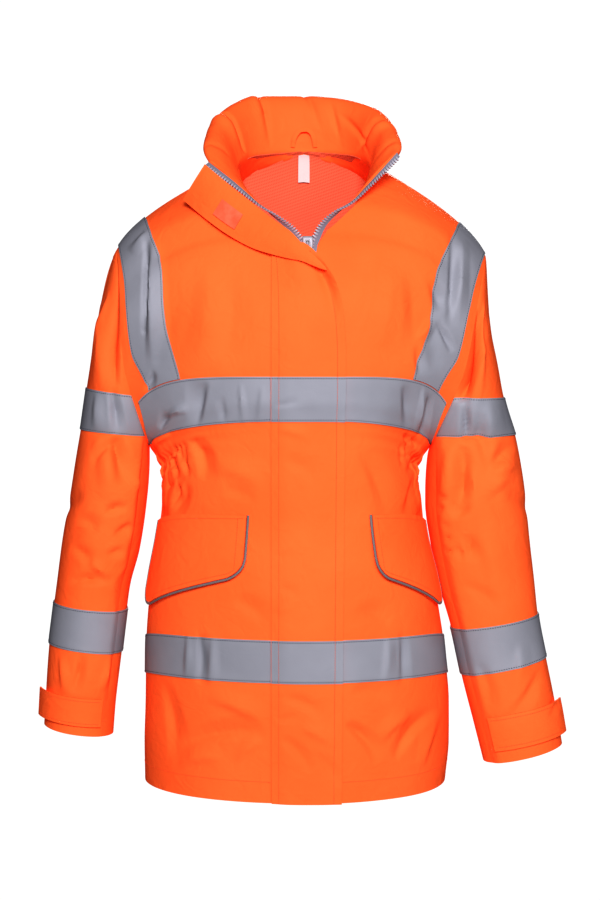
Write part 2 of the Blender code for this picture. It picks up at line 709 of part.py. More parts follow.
class FrontSheet:
    """Both fronts as one surface by x and level, across the zip between their edges."""

    def __init__(self, panels):
        self.right, self.left = panels["right", "front"], panels["left", "front"]

    def points(self, x, level, out):
        ends = []
        for panel, clip in ((self.right, np.minimum), (self.left, np.maximum)):
            edge = panel.inner(level)[..., 0]
            column = panel.column_at(clip(x, edge), level)
            ends.append((edge, *panel.points(column, level)))
        (x0, point0, normal0), (x1, point1, normal1) = ends
        share = np.clip((x - x0) / (x1 - x0), 0, 1)[..., None]
        normal = unit(normal0 + (normal1 - normal0) * share)
        return point0 + (point1 - point0) * share + normal * out[..., None], normal


def flap_points(sheet, share, level, out=0.0):
    edge = look_up(FLAP_EDGE, "level", "edge_x", level)
    puff = look_up(FLAP_EDGE, "level", "puff", level)
    plain = look_up(FLAP_STAND, "share", "plain", share)
    puffed = look_up(FLAP_STAND, "share", "puffed", share)
    stand = plain + (puffed - plain) * puff
    return sheet.points(FLAP_SEAM_X + (edge - FLAP_SEAM_X) * share, level, stand + FLAP + out)


def lapel_points(share, row, out=0.0):
    """The turned-back top by row and share, 0 at the fold and 1 at the free edge."""
    rows = np.arange(len(LAPEL["fold_x"]), dtype=float)

    def base(share, row):
        fold = np.stack([smooth(rows, LAPEL["fold_" + axis], row) for axis in "xyz"], axis=-1)
        free = np.stack([smooth(rows, LAPEL["free_" + axis], row) for axis in "xyz"], axis=-1)
        width = np.linalg.norm(free - fold, axis=-1)
        point = fold + (free - fold) * share[..., None]
        bulge = LAPEL_BULGE * np.sin(share * math.pi) * np.clip(width / 40, 0, 1)
        point[..., 1] -= bulge
        return point

    step = 1e-2
    across = base(share + step, row) - base(share - step, row)
    last = rows[-1]
    along = base(share, np.minimum(row + step, last)) - base(share, np.maximum(row - step, 0))
    normal = unit(np.cross(across, along))
    normal = normal * np.where(normal[..., 1:2] > 0, -1, 1)
    return base(share, row) + normal * out, normal


def build_flap(panels, shell, tape, hook):
    sheet = FrontSheet(panels)
    levels = np.array(sorted(LOW_LEVELS + (1.0, 1.25, 1.5, 2.0, 2.2, 2.4, 2.55, 2.66, 2.76,
                                           2.86, 2.96)))
    wall("storm_flap", [flap_points(sheet, *grid(FLAP_SHARES, levels))], FLAP, shell)
    for name, ends in (("hip", HIP_BAND), ("chest", CHEST_BAND)):
        rows = levels[(levels >= ends[0]) & (levels <= ends[1])]
        patch = flap_points(sheet, *grid(FLAP_SHARES, rows), out=LAY_GAP + TAPE)
        wall(f"{name}_band_flap", [patch], TAPE, tape)
    shares = np.linspace(0, 1, 5)
    rows = np.arange(len(LAPEL["fold_x"]), dtype=float)
    rows = np.array(sorted(set(rows) | set(PATCH_SPAN)))
    wall("storm_flap_turned_top", [lapel_points(*grid(shares, rows))], LAPEL_THICK, shell)
    rows = rows[(rows >= PATCH_SPAN[0]) & (rows <= PATCH_SPAN[1])]
    shares = np.linspace(*PATCH_SHARE, 3)
    patch = lapel_points(*grid(shares, rows), out=LAY_GAP + PATCH_HIGH)
    wall("flap_hook_patch", [patch], PATCH_THICK, hook)


# The stand collar with the hood rolled up inside it: along the neckline, its foot, its crest
# and how full it is.
COLLAR = table(
    "foot_x  foot_y  foot_z  crest_x  crest_y  crest_z  full",
    (-41,   -67,    -37,     -100,    -49,     14,    0.15),
    (-58,   -40,    -15,     -108,    -24,     36,    0.60),
    (-68,     0,     14,     -105,     12,     60,    0.95),
    (-57,    40,     33,      -86,     52,     90,    1.00),
    (-28,    68,     40,      -50,     82,    110,    1.00),
    ( 13,    80,     43,        8,     98,    113,    1.00),
    ( 54,    68,     40,       58,     90,    108,    1.00),
    ( 83,    40,     33,      104,     58,     92,    1.00),
    ( 94,     0,     15,      126,     14,     60,    0.95),
    ( 85,   -40,    -14,      130,    -22,     38,    0.60),
    ( 69,   -67,    -36,      123,    -43,     24,    0.15),
)
COLLAR_SECTION = table(
    "up    across",
    (0.00,   0.8),
    (0.12,   3.5),
    (0.35,   8.0),
    (0.65,  10.0),
    (0.90,   8.0),
    (1.00,   0.0),
    (0.93,  -9.0),
    (0.70, -13.0),
    (0.42, -10.0),
    (0.16,  -4.5),
    (0.00,  -0.8),
)
COLLAR_CREST = 5       # its row in the section
FOOT_LIFT = 1.6
COLLAR_THIN = 1.6      # half the collar's thickness where the zip is sewn on


def collar_points(place, up, across):
    """The collar at a place along the neckline, a share up it and so far out from its middle."""
    places = np.arange(len(COLLAR["full"]), dtype=float)

    def line(name, at):
        return np.stack([smooth(places, COLLAR[f"{name}_{axis}"], at) for axis in "xyz"], -1)

    foot, crest = line("foot", place), line("crest", place)
    step = 0.02
    run = line("foot", place + step) - line("foot", place - step)
    run = run + line("crest", place + step) - line("crest", place - step)
    rise = crest - foot
    out = unit(np.cross(rise, run))
    full = smooth(places, COLLAR["full"], place)
    thin = np.clip(across, -COLLAR_THIN, COLLAR_THIN)
    spread = (thin + (across - thin) * full)[..., None]
    return foot + unit(rise) * FOOT_LIFT + (rise - unit(rise) * FOOT_LIFT) * up[..., None] \
        + out * spread


def build_collar(shell):
    count = len(COLLAR["full"])
    places = np.linspace(0, count - 1, 2 * count - 1)
    up, place = np.meshgrid(COLLAR_SECTION["up"], places)
    across = np.broadcast_to(COLLAR_SECTION["across"], up.shape)
    rings = collar_points(place, up, across)
    loft("collar", rings, shell)


def loft(name, rings, material):
    """A closed tube through rings of points, with flat ends."""
    rows, size = rings.shape[:2]
    faces = []
    for r in range(rows - 1):
        for c in range(size):
            a, b = r * size + c, r * size + (c + 1) % size
            faces += [[a, b, b + size], [a, b + size, a + size]]
    faces.append(list(range(size))[::-1])
    faces.append([(rows - 1) * size + c for c in range(size)])
    points = rings.reshape(-1, 3)
    if volume(points, faces) < 0:
        faces = [face[::-1] for face in faces]
    return solid(name, list(points), faces, material)


def volume(points, faces):
    total = 0.0
    for face in faces:
        for b, c in zip(face[1:], face[2:]):
            total += np.dot(points[face[0]], np.cross(points[b], points[c]))
    return total


# The open zip: the line of its teeth up the neck on each side, and where its tape is sewn.
OPEN_ZIP = {
    "right": table(
        "chain_x  chain_y  chain_z  sewn_x  sewn_y  sewn_z",
        (  12,     -92,     -82,      5.5,   -91,    -87),
        (   0,     -87,     -67,     -6,     -83,    -70),
        ( -21,     -81,     -52,    -25,     -76,    -52),
        ( -41,     -76,     -40,    -42,     -70,    -37),
        ( -75,     -66,     -14,    -72,     -61,    -10),
        (-105,     -55,       9,   -101,     -51,     13),
    ),
    "left": table(
        "chain_x  chain_y  chain_z  sewn_x  sewn_y  sewn_z",
        (  22,     -92,     -82,     28.5,   -91,    -87),
        (  33,     -87,     -62,     39,     -83,    -64),
        (  50,     -81,     -48,     54,     -76,    -48),
        (  68,     -76,     -38,     70,     -70,    -35),
        (  98,     -64,     -10,     97,     -59,     -6),
        ( 127,     -49,      20,    124,     -46,     25),
    ),
}
TAPE_TO_EDGE = 0.5


def build_zip(panels, fabric):
    levels = PANEL_LEVELS[PANEL_LEVELS < 2.8]
    for side, sign in SIGN.items():
        panel = panels[side, "front"]
        sewn, normal = panel.points(np.zeros_like(levels), levels)
        chain = sewn.copy()
        chain[:, 0] = ZIP_X + sign * 0.6
        sewn[:, 0] -= sign * TAPE_TO_EDGE
        rows = OPEN_ZIP[side]
        keys = np.arange(len(rows["chain_x"]), dtype=float)
        at = np.linspace(0, keys[-1], 11)
        open_chain, open_sewn = (
            np.stack([smooth(keys, rows[f"{line}_{axis}"], at) for axis in "xyz"], -1)
            for line in ("chain", "sewn"))
        run = np.gradient(open_chain, axis=0)
        open_normal = unit(np.cross(open_sewn - open_chain, run) * sign)
        points = np.stack([np.concatenate([chain, open_chain]),
                           np.concatenate([sewn, open_sewn])], axis=1)
        normals = np.concatenate([normal, open_normal])
        normals = np.stack([normals, normals], axis=1)
        wall("zip_tape_" + side, [(points, normals)], ZIP_TAPE, fabric)


SLIDER = table(
    "z     half_width  back_y  front_y",
    (-77,   5.5,       -92.8,   -96.0),
    (-79,   6.5,       -93.2,   -97.0),
    (-87,   6.5,       -94.0,   -98.2),
    (-94,   4.8,       -95.4,   -99.6),
    (-96,   3.8,       -96.0,   -99.4),
)
BRIDGE = {"x": (15.9, 18.1), "y": (-103.6, -97.0), "z": (-88.4, -83.2)}
PULL_AXIS = (17.0, -101.7, -84.2)
PULL = {"width": 6.4, "length": 23.0, "thick": 1.4, "slot": (3.6, 8.0), "bar": 2.0,
        "above_axis": 3.6, "corner": 1.8}


def build_slider(metal):
    rows = zip(SLIDER["z"], SLIDER["half_width"], SLIDER["back_y"], SLIDER["front_y"])
    rings = [[(ZIP_X + x * half, back + (front - back) * y, z)
              for x, y in ((-1, 0), (-1, 0.75), (-0.8, 1), (0.8, 1), (1, 0.75), (1, 0))]
             for z, half, back, front in rows]
    slider = loft("zip_slider", np.array(rings), metal)
    x, y, z = BRIDGE["x"], BRIDGE["y"], BRIDGE["z"]
    rings = [[(x[i], y[0], k), (x[i], y[1], k), (x[1 - i], y[1], k), (x[1 - i], y[0], k)]
             for i, k in ((0, z[0]), (0, z[1]))]
    bridge = loft("bridge_cutter", np.array(rings, float), metal)
    bridge.hide_render = True
    bridge.display_type = "WIRE"
    joined = slider.modifiers.new("bridge", "BOOLEAN")
    joined.operation = "UNION"
    joined.object = bridge


def build_pull(metal):
    """A flat tab with a slot that hangs on the slider's bridge, its origin on that axis."""
    half, slot = PULL["width"] / 2, PULL["slot"][0] / 2
    top = PULL["above_axis"]
    foot, corner = top - PULL["length"], PULL["corner"]
    slot_top = top - PULL["bar"]
    slot_foot = slot_top - PULL["slot"][1]
    outline = [(-half, top), (-half, foot + corner), (-half + corner, foot),
               (half - corner, foot), (half, foot + corner), (half, top)]
    hole = [(-slot, slot_top), (-slot, slot_foot), (slot, slot_foot), (slot, slot_top)]
    hole_of = (0, 1, 1, 2, 2, 3)      # the hole's corner beside each of the outline's
    count = len(outline)
    layer = count + len(hole)
    points = [(x, side * PULL["thick"] / 2, z) for side in (-1, 1)
              for x, z in outline + hole]
    faces = []
    for k in range(count):
        n = (k + 1) % count
        a, b = count + hole_of[k], count + hole_of[n]
        front = list(dict.fromkeys([k, n, b, a]))
        faces += [front, [layer + i for i in reversed(front)], [n, k, layer + k, layer + n]]
        if a != b:
            faces.append([a, b, layer + b, layer + a])
    if volume(np.array(points), faces) < 0:
        faces = [face[::-1] for face in faces]
    pull = solid("zip_pull_tab", points, faces, metal)
    pull.location = [value * MM for value in PULL_AXIS]


# Pocket flaps: where each starts on the front, the rows of its top and bottom edge, and the
# rounding of its two lower corners as a share of its width and a rise in level.
POCKET = {"inner_x": {"right": -54.0, "left": 92.0}, "outer_column": 0.865, "top": 0.753,
          "bottom_inner": 0.600, "bottom_outer": 0.505, "round_inner": (0.13, 0.040),
          "round_outer": (0.17, 0.050), "stand": 3.5}
POCKET_LAY = 1.6       # over the panel, whose folds the flap bridges
POCKET_SHARES = np.array([0.0, 0.025, 0.07, 0.13, 0.28, 0.44, 0.6, 0.72, 0.83, 0.9, 0.96, 1.0])
PIPING_RADIUS = 1.5


def pocket_grid(panel, across, down):
    """A pocket flap's columns and levels by share across, from inside, and share down."""
    first = panel.column_at(POCKET["inner_x"][panel.side], POCKET["top"])
    column = first + (POCKET["outer_column"] - first) * across
    bottom = POCKET["bottom_inner"] + (POCKET["bottom_outer"] - POCKET["bottom_inner"]) * across
    for (reach, rise), gap in ((POCKET["round_inner"], across),
                               (POCKET["round_outer"], 1 - across)):
        turn = np.clip(1 - gap / reach, 0, 1)
        bottom = bottom + rise * (1 - np.sqrt(1 - turn ** 2))
    return column, POCKET["top"] - (POCKET["top"] - bottom) * down


def build_pockets(panels, shell, piping):
    for side in SIGN:
        panel = panels[side, "front"]

        def flap(across, down, out=0.0):
            column, level = pocket_grid(panel, across, down)
            stand = POCKET_LAY + POCKET_FLAP + POCKET["stand"] * down ** 1.5
            return panel.points(column, level, out=stand - panel.lift(column, level) + out)

        wall("pocket_flap_" + side, [flap(*grid(POCKET_SHARES, np.linspace(0, 1, 5)))],
             POCKET_FLAP, shell)
        down = np.linspace(0, 1, 5)
        ends = np.zeros_like(down)
        across = np.concatenate([ends, POCKET_SHARES[1:-1], ends + 1])
        depth = np.concatenate([down, np.ones(len(POCKET_SHARES) - 2), down[::-1]])
        path, normal = flap(across, depth, out=-POCKET_FLAP / 2)
        run = unit(np.gradient(path, axis=0))
        away = -np.cross(normal, run) * SIGN[side]
        path = path + away * (PIPING_RADIUS + 2 * SEAM_GAP)
        turns = np.linspace(0, 2 * math.pi, 6, endpoint=False)
        rings = path[:, None] + PIPING_RADIUS * (normal[:, None] * np.cos(turns)[:, None]
                                                 + away[:, None] * np.sin(turns)[:, None])
        loft("pocket_piping_" + side, rings, piping)


CUFF_TAB = {"rows": (0.035, 0.132), "parts": (0.90, 0.06), "lift": (0.4, 5.0), "thick": 2.0}


def build_cuff_tabs(shell):
    """Each tab is sewn near the front seam and its free end stands off at the outer side."""
    for side in SIGN:
        sleeve = Sleeve(side)
        start, end = CUFF_TAB["parts"]
        share, row = grid(np.linspace(0, 1, 7), np.array(CUFF_TAB["rows"]))
        low, high = CUFF_TAB["lift"]
        out = low + (high - low) * share ** 3 + 0.8 + CUFF_TAB["thick"]
        patch = sleeve.upper(start + (end - start) * share, row, out=out)
        wall("cuff_tab_" + side, [patch], CUFF_TAB["thick"], shell)


LINING_LEVELS = np.array([2.7, 3.0, 3.25, 3.5, 3.75, 4.0, 4.33, 4.67])
LABEL = {"x": (5.5, 20.5), "levels": (3.72, 3.8, 3.88, 3.96), "thick": 1.0,
         "off": 2.6}


def build_lining(panels, mesh_cloth, label_cloth):
    """The mesh lining behind the neck, and the bare label sewn over it."""
    columns = BACK_COLUMNS[BACK_COLUMNS <= BRACE_COLUMNS[0]]
    inside = -(CLOTH + LAY_GAP)
    patches = [panels[side, "back"].points(*grid(columns, LINING_LEVELS), out=inside)
               for side in SIGN]
    weld_middle(patches, LINING_LEVELS)
    wall("neck_lining", patches, LINING, mesh_cloth)
    inside = inside - LINING - LABEL["off"]
    levels = np.array(LABEL["levels"])
    patches = []
    for side, x in zip(SIGN, LABEL["x"]):
        panel = panels[side, "back"]
        column, level = grid(np.array([0.0, 1.0]), levels)
        column = column * panel.column_at(x + 0 * level, level)
        patches.append(panel.points(column, level, out=inside))
    weld_middle(patches, levels)
    wall("neck_label", patches, LABEL["thick"], label_cloth)


FACING = {"levels": (2.9, 3.0, 3.15, 3.35, 3.6, 3.8), "column": 0.03, "behind": 1.6,
          "deep": 22.0, "aside": 6.0, "thick": 1.6}


def build_facings(panels, shell):
    """The strip inside each front edge, between the zip and the lining, where the neck opens."""
    levels = np.array(FACING["levels"])
    for side, sign in SIGN.items():
        inside = -(CLOTH + FACING["behind"])
        columns = np.full_like(levels, FACING["column"])
        near = panels[side, "front"].points(columns, levels, out=inside)[0]
        far = near + np.array([sign * FACING["aside"], FACING["deep"], 0.0])
        normal = unit(np.cross(far - near, np.gradient(near, axis=0)))
        normal = normal * np.where(normal[:, :1] * sign > 0, -1, 1)
        points = np.stack([near, far], axis=1)
        normals = np.stack([normal, normal], axis=1)
        wall("front_facing_" + side, [(points, normals)], FACING["thick"], shell)


# The hang loop in front of the collar's inner face: along the neckline, up and off the face.
HANG_LOOP = table(
    "place  up    off",
    (4.66,  0.03,  2.2),
    (4.70,  0.14,  4.4),
    (4.79,  0.23,  5.4),
    (4.93,  0.29,  5.8),
    (5.12,  0.30,  5.8),
    (5.26,  0.26,  5.4),
    (5.33,  0.16,  4.4),
    (5.35,  0.03,  2.2),
)
LOOP_TAPE = {"width": 5.0, "thick": 1.2}


def build_hang_loop(shell):
    places, up = HANG_LOOP["place"], HANG_LOOP["up"]
    face = slice(None, COLLAR_CREST, -1)
    inner = np.interp(up, COLLAR_SECTION["up"][face], COLLAR_SECTION["across"][face])
    path = collar_points(places, up, inner - HANG_LOOP["off"])
    normal = unit(path - collar_points(places, up, inner))
    run = unit(np.gradient(path, axis=0))
    half = unit(np.cross(run, normal)) * LOOP_TAPE["width"] / 2
    points = np.stack([path - half, path + half], axis=1)
    normals = np.stack([normal, normal], axis=1)
    wall("hang_loop", [(points, normals)], LOOP_TAPE["thick"], shell)


def clear_scene():
    for item in list(bpy.data.objects):
        bpy.data.objects.remove(item, do_unlink=True)


def main():
    clear_scene()
    shell = finish("orange_shell", (1.0, 0.15, 0.02), 0.55)
    tape = finish("reflective_tape", (0.31, 0.31, 0.35), 0.35, 0.2)
    hook = finish("hook_and_loop", (0.95, 0.25, 0.12), 0.8)
    zip_fabric = finish("zip_fabric", (0.36, 0.34, 0.42), 0.8)
    metal = finish("zip_metal", (0.62, 0.62, 0.65), 0.35, 1.0)
    piping = finish("grey_piping", (0.27, 0.23, 0.24), 0.6)
    mesh_cloth = finish("mesh_lining", (0.95, 0.13, 0.06), 0.8)
    label_cloth = finish("label_cloth", (0.85, 0.85, 0.85), 0.7)
    panels = {(side, face): Panel(side, face) for side in SIGN for face in ("front", "back")}
    build_fronts(panels, shell)
    build_back(panels, shell)
    build_bands(panels, tape)
    build_braces(panels, tape)
    build_sleeves(shell, tape)
    build_cuff_tabs(shell)
    build_pockets(panels, shell, piping)
    build_flap(panels, shell, tape, hook)
    build_collar(shell)
    build_zip(panels, zip_fabric)
    build_slider(metal)
    build_pull(metal)
    build_facings(panels, shell)
    build_lining(panels, mesh_cloth, label_cloth)
    build_hang_loop(shell)


main()
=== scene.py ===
"""Looks of the hi-vis work jacket: coated cloth, reflective tape, sewing, zip, lining and light.

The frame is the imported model's: +X the wearer's left, -Y the front, +Z up. Tables and shapes
are in millimetres, and meshes are written in metres. Each cloth piece is a wall worked out
from a surface of two parameters, with its creases as lifts along the surface's normals, so
that tape, flaps and stitches laid on a panel follow that panel's folds.
"""
import logging
import math
from dataclasses import dataclass, field
from enum import Enum

import bpy
import numpy as np
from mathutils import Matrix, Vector


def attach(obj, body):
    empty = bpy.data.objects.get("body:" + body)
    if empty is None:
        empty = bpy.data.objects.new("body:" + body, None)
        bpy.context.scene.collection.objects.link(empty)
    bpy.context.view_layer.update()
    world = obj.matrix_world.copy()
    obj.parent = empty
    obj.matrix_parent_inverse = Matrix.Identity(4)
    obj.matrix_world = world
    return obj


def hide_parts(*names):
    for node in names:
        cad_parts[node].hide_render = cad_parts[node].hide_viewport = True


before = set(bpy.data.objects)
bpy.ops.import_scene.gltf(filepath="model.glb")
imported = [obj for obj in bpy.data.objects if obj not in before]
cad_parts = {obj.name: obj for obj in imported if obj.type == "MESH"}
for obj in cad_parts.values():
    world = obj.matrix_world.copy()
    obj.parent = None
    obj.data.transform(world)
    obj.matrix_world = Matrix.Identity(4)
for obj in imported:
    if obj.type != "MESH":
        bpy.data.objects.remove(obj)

logging.basicConfig(level=logging.INFO, format="%(name)s: %(message)s")
LOG = logging.getLogger("jacket")

MM = 0.001
# Stops nearer to each other than this are one stop.
SAME = 1e-6
Array = np.ndarray
Rows = dict[str, Array]

# Driving sizes of the cloth, as in the solids.
CLOTH = 1.6
TAPE = 1.1
LINING = 1.1
FLAP = 2.4
POCKET_FLAP = 2.2
ZIP_TAPE = 1.2
SEAM_GAP = 0.03
LAY_GAP = 0.4
HEM_Z = -742.0
UNDERARM_Z = -328.0
SHOULDER_TIP_Z = -85.0
ZIP_X = 17.0
ARMHOLE_DEPTH = 64.0
ARMHOLE_BOW = 11.0
SLEEVE_SEAM = 145.0


class Side(Enum):
    """The wearer's sides."""

    RIGHT = "right"
    LEFT = "left"

    @property
    def sign(self) -> float:
        """Minus one at -X, plus one at +X."""
        return -1.0 if self is Side.RIGHT else 1.0


class Face(Enum):
    """The two faces of the torso."""

    FRONT = "front"
    BACK = "back"


def table(columns: str, *rows: tuple) -> Rows:
    """Rows of numbers as named columns.

    Args:
        columns: The columns' names, parted by spaces.
        rows: One tuple of numbers for each row.

    Returns:
        Each column's numbers by its name.
    """
    return {name: np.array([row[i] for row in rows], float)
            for i, name in enumerate(columns.split())}


def smooth(keys: Array, values: Array, at: Array) -> Array:
    """A cubic through the rows that never swings past them (harmonic mean slopes).

    Args:
        keys: Rising keys of the rows.
        values: The rows' values.
        at: Keys to read at.

    Returns:
        The curve's values at those keys.
    """
    steps = np.diff(values) / np.diff(keys)
    before, after = steps[:-1], steps[1:]
    same = before * after > 0
    inner = np.where(same, 2 * before * after / np.where(same, before + after, 1.0), 0.0)
    slopes = np.concatenate([steps[:1], inner, steps[-1:]])
    at = np.clip(np.asarray(at, float), keys[0], keys[-1])
    i = np.clip(np.searchsorted(keys, at, side="right") - 1, 0, len(keys) - 2)
    width = keys[i + 1] - keys[i]
    f = (at - keys[i]) / width
    rise = f * f * (3 - 2 * f)
    bend = width * f * (1 - f) * ((1 - f) * slopes[i] - f * slopes[i + 1])
    return values[i] * (1 - rise) + values[i + 1] * rise + bend


def look_up(rows: Rows, key: str, column: str, at: Array) -> Array:
    """The smooth curve of one column of a table, read by another."""
    return smooth(rows[key], rows[column], at)


def unit(vectors: Array) -> Array:
    """Vectors scaled to length one."""
    return vectors / np.maximum(np.linalg.norm(vectors, axis=-1, keepdims=True), 1e-9)


def ramp(value: Array) -> Array:
    """A soft step from 0 to 1 as the value goes from 0 to 1: 3 f^2 - 2 f^3."""
    f = np.clip(value, 0, 1)
    return f * f * (3 - 2 * f)


def grid(columns: Array, levels: Array) -> tuple[Array, Array]:
    """Two parameters over a grid, a row of points for each level.

    Args:
        columns: Values along a row.
        levels: Values from row to row.

    Returns:
        The column and the level of every grid point.
    """
    level, column = np.meshgrid(levels, columns, indexing="ij")
    return column, level


def steps(stops: tuple[float, ...], counts: tuple[int, ...]) -> Array:
    """Evenly spaced values between stops, with a count of cells for each stretch."""
    parts = [np.linspace(a, b, n, endpoint=False) for a, b, n in zip(stops, stops[1:], counts)]
    return np.concatenate([*parts, stops[-1:]])


def between(stops: Array, low: float, high: float) -> Array:
    """The stops from low to high, with those at either end."""
    return stops[(stops >= low - SAME) & (stops <= high + SAME)]


def by_row(rows: Rows, column: str, at: Array) -> Array:
    """The smooth curve of one column of a table, read by the number of its row."""
    return smooth(np.arange(len(rows[column]), dtype=float), rows[column], at)


def path_by_row(rows: Rows, name: str, at: Array) -> Array:
    """The smooth line through a table's points, in its columns name_x, name_y and name_z."""
    return np.stack([by_row(rows, f"{name}_{axis}", at) for axis in "xyz"], axis=-1)


def gone_along(line: Array) -> Array:
    """How far along a line of points each of them is."""
    return np.concatenate([[0.0], np.cumsum(np.linalg.norm(np.diff(line, axis=0), axis=-1))])


def read_along(gone: Array, values: Array, at: Array) -> Array:
    """Points or directions given along a line, read at other lengths along it."""
    return np.stack([np.interp(at, gone, values[:, i]) for i in range(3)], axis=-1)


def off_line(x: Array, z: Array, start: tuple[float, float],
             end: tuple[float, float]) -> tuple[Array, Array]:
    """Where points lie by a straight line in front view.

    Args:
        x: The points' places across.
        z: Their places up.
        start: Where the line begins.
        end: Where it ends.

    Returns:
        The share of the line that each point is along it, and its distance off it.
    """
    run, rise = end[0] - start[0], end[1] - start[1]
    length = math.hypot(run, rise)
    share = ((x - start[0]) * run + (z - start[1]) * rise) / length ** 2
    return share, ((z - start[1]) * run - (x - start[0]) * rise) / length


CREASE_COLUMNS = "x0 z0 x1 z1 bow half_width depth steep peak"
# Steep and peak of a crease whose row leaves them out.
EVEN_CREASE = (0.50, 0.50)


@dataclass(frozen=True)
class Creases:
    """Folds of stiff cloth: flat flanks that meet in a crisp, bowed line in front view.

    A row's line goes from (x0, z0) to (x1, z1) and bows aside. Its depth, minus for a trough,
    is greatest at the share `peak` of its length and fades to both ends. Across the line the
    lift falls straight from the depth to nothing at half_width, and on one flank sooner, at
    half_width * steep. The line itself is rounded a little.
    """

    rows: Rows
    gain: float = 1.6
    crest: float = 0.10

    def lift(self, x: Array, z: Array) -> Array:
        """The sum of all creases at points in front view.

        Args:
            x: Where the points are from side to side.
            z: Their heights.

        Returns:
            How far each point is lifted, in millimetres.
        """
        total = np.zeros(np.shape(x))
        for x0, z0, x1, z1, bow, half_width, depth, steep, peak in zip(*self.rows.values()):
            share, off = off_line(x, z, (x0, z0), (x1, z1))
            off = off - bow * 4 * np.clip(share, 0, 1) * (1 - np.clip(share, 0, 1))
            fade = np.clip(np.minimum(share / peak, (1 - share) / (1 - peak)), 0, 1)
            fade = 1 - (1 - fade) ** 1.6
            width = half_width * (0.75 + 0.5 * np.clip(share, 0, 1))
            width = width * np.where(off < 0, steep, 1.0)
            near = np.sqrt((off / width) ** 2 + self.crest ** 2) - self.crest
            total = total + depth * fade * np.clip(1 - near, 0, 1)
        return total * self.gain


def crease_rows(*rows: tuple) -> Creases:
    """Creases from rows that may leave out steep and peak, as EVEN_CREASE has them."""
    given = len(CREASE_COLUMNS.split()) - len(EVEN_CREASE)
    return Creases(table(CREASE_COLUMNS,
                         *((*row, *EVEN_CREASE[len(row) - given:]) for row in rows)))


def unevenness(x: Array, y: Array, z: Array) -> Array:
    """Slow swells of worn cloth: sines of unlike lengths, bent by each other, under 0.8 mm."""
    first = np.sin(x / 21 + 1.4 * np.sin(z / 57) + y / 43) * np.sin(z / 34 + 0.7)
    second = np.sin((x - 0.6 * z) / 17 + 1.1 * np.sin(x / 47)) * np.sin(y / 26 + z / 71)
    return 0.45 * first + 0.28 * second


# The torso by level: 0 hem, 1 underarm, 2 top of the chest band, 3 foot of the open zip,
# 4 front end of the neckline, 5 shoulder seam.
FRONT_LEVELS = table(
    "level  edge_y  edge_z  sweep  late  even",
    (0.00,  -128,   -742,   90,   2.5,  0.00),
    (0.25,  -128,   -630,   90,   2.5,  0.00),
    (0.50,  -123,   -518,   90,   2.5,  0.00),
    (0.75,  -116,   -405,   90,   2.5,  0.00),
    (1.00,  -118,   -293,   86,   1.2,  0.00),
    (1.50,  -121,   -267,   72,   1.2,  0.00),
    (2.00,  -121,   -241,   63,   2.5,  0.00),
    (2.50,  -111,   -165,   56,   2.1,  0.00),
    (3.00,   -90,    -88,   52,   1.8,  0.00),
    (3.50,   -80,    -69,   52,   1.5,  0.12),
    (4.00,   -69,    -41,   56,   1.3,  0.25),
    (4.50,   -38,    -14,   65,   1.1,  0.42),
    (5.00,     0,     14,   78,   1.0,  0.58),
)
EDGE_X = table(
    "level  right  left",
    (0.0,    9.0,  25.0),
    (2.8,    9.0,  25.0),
    (3.0,    5.0,  29.0),
    (3.5,   -7.0,  40.0),
    (4.0,  -43.0,  71.0),
    (4.5,  -60.0,  87.0),
    (5.0,  -68.0,  94.0),
)
BACK_LEVELS = table(
    "level  edge_x  edge_y  edge_z  sweep  late  even",
    (0.00,   2,   112,   -742,   90,   2.5,  0.00),
    (0.25,   3,   113,   -640,   90,   2.5,  0.00),
    (0.50,   4,   108,   -538,   90,   2.5,  0.00),
    (0.75,   5,    99,   -425,   90,   2.5,  0.00),
    (1.00,   6,   102,   -304,   86,   1.2,  0.00),
    (1.50,   7,   107,   -278,   72,   1.2,  0.00),
    (2.00,   7,   109,   -252,   63,   2.5,  0.00),
    (2.50,   9,   112,   -170,   56,   2.1,  0.00),
    (3.00,  11,   109,    -90,   52,   1.8,  0.00),
    (3.50,  12,    98,    -20,   52,   1.5,  0.12),
    (4.00,  13,    80,     42,   56,   1.3,  0.25),
    (4.50,  13,    62,     36,   65,   1.1,  0.75),
    (5.00,  13,     0,     14,   78,   1.0,  0.58),
)
SIDE_SEAM = table(
    "z      right   left",
    (-742,  -185,   189),
    (-695,  -185,   193),
    (-645,  -184,   193),
    (-582,  -183,   187),
    (-545,  -181,   182),
    (-495,  -176,   174),
    (-445,  -168,   163),
    (-400,  -162,   157),
    (-362,  -162,   152),
    (-345,  -168,   158),
    (-328,  -178,   169),
)
ARMHOLE = table(
    "level  angle",
    (1.0,   180.0),
    (1.5,   152.0),
    (2.0,   126.0),
    (2.5,   101.0),
    (3.0,    78.0),
    (3.5,    59.0),
    (4.0,    41.0),
    (4.5,    21.0),
    (5.0,     0.0),
)
SHOULDER_TIP_X = {Side.RIGHT: -215.0, Side.LEFT: 235.0}
UNDERARM_X = {Side.RIGHT: -178.0, Side.LEFT: 169.0}
NECK_HALF_WIDTH = 81.0
NECK_DEPTH = 80.0
LEFT_SHOULDER_DROP = 10.0

BRACE_COLUMNS = (0.64, 0.90)
BRACE = table(
    "level  inner  outer",
    (0.0,   0.640,  0.900),
    (1.0,   0.640,  0.900),
    (2.0,   0.625,  0.860),
    (2.5,   0.690,  0.930),
    (3.0,   0.700,  0.945),
    (4.0,   0.680,  0.955),
    (5.0,   0.630,  0.975),
)
HIP_BAND = (0.318, 0.430)
CHEST_BAND = (1.0, 2.0)
CHEST_BAND_END = 0.97

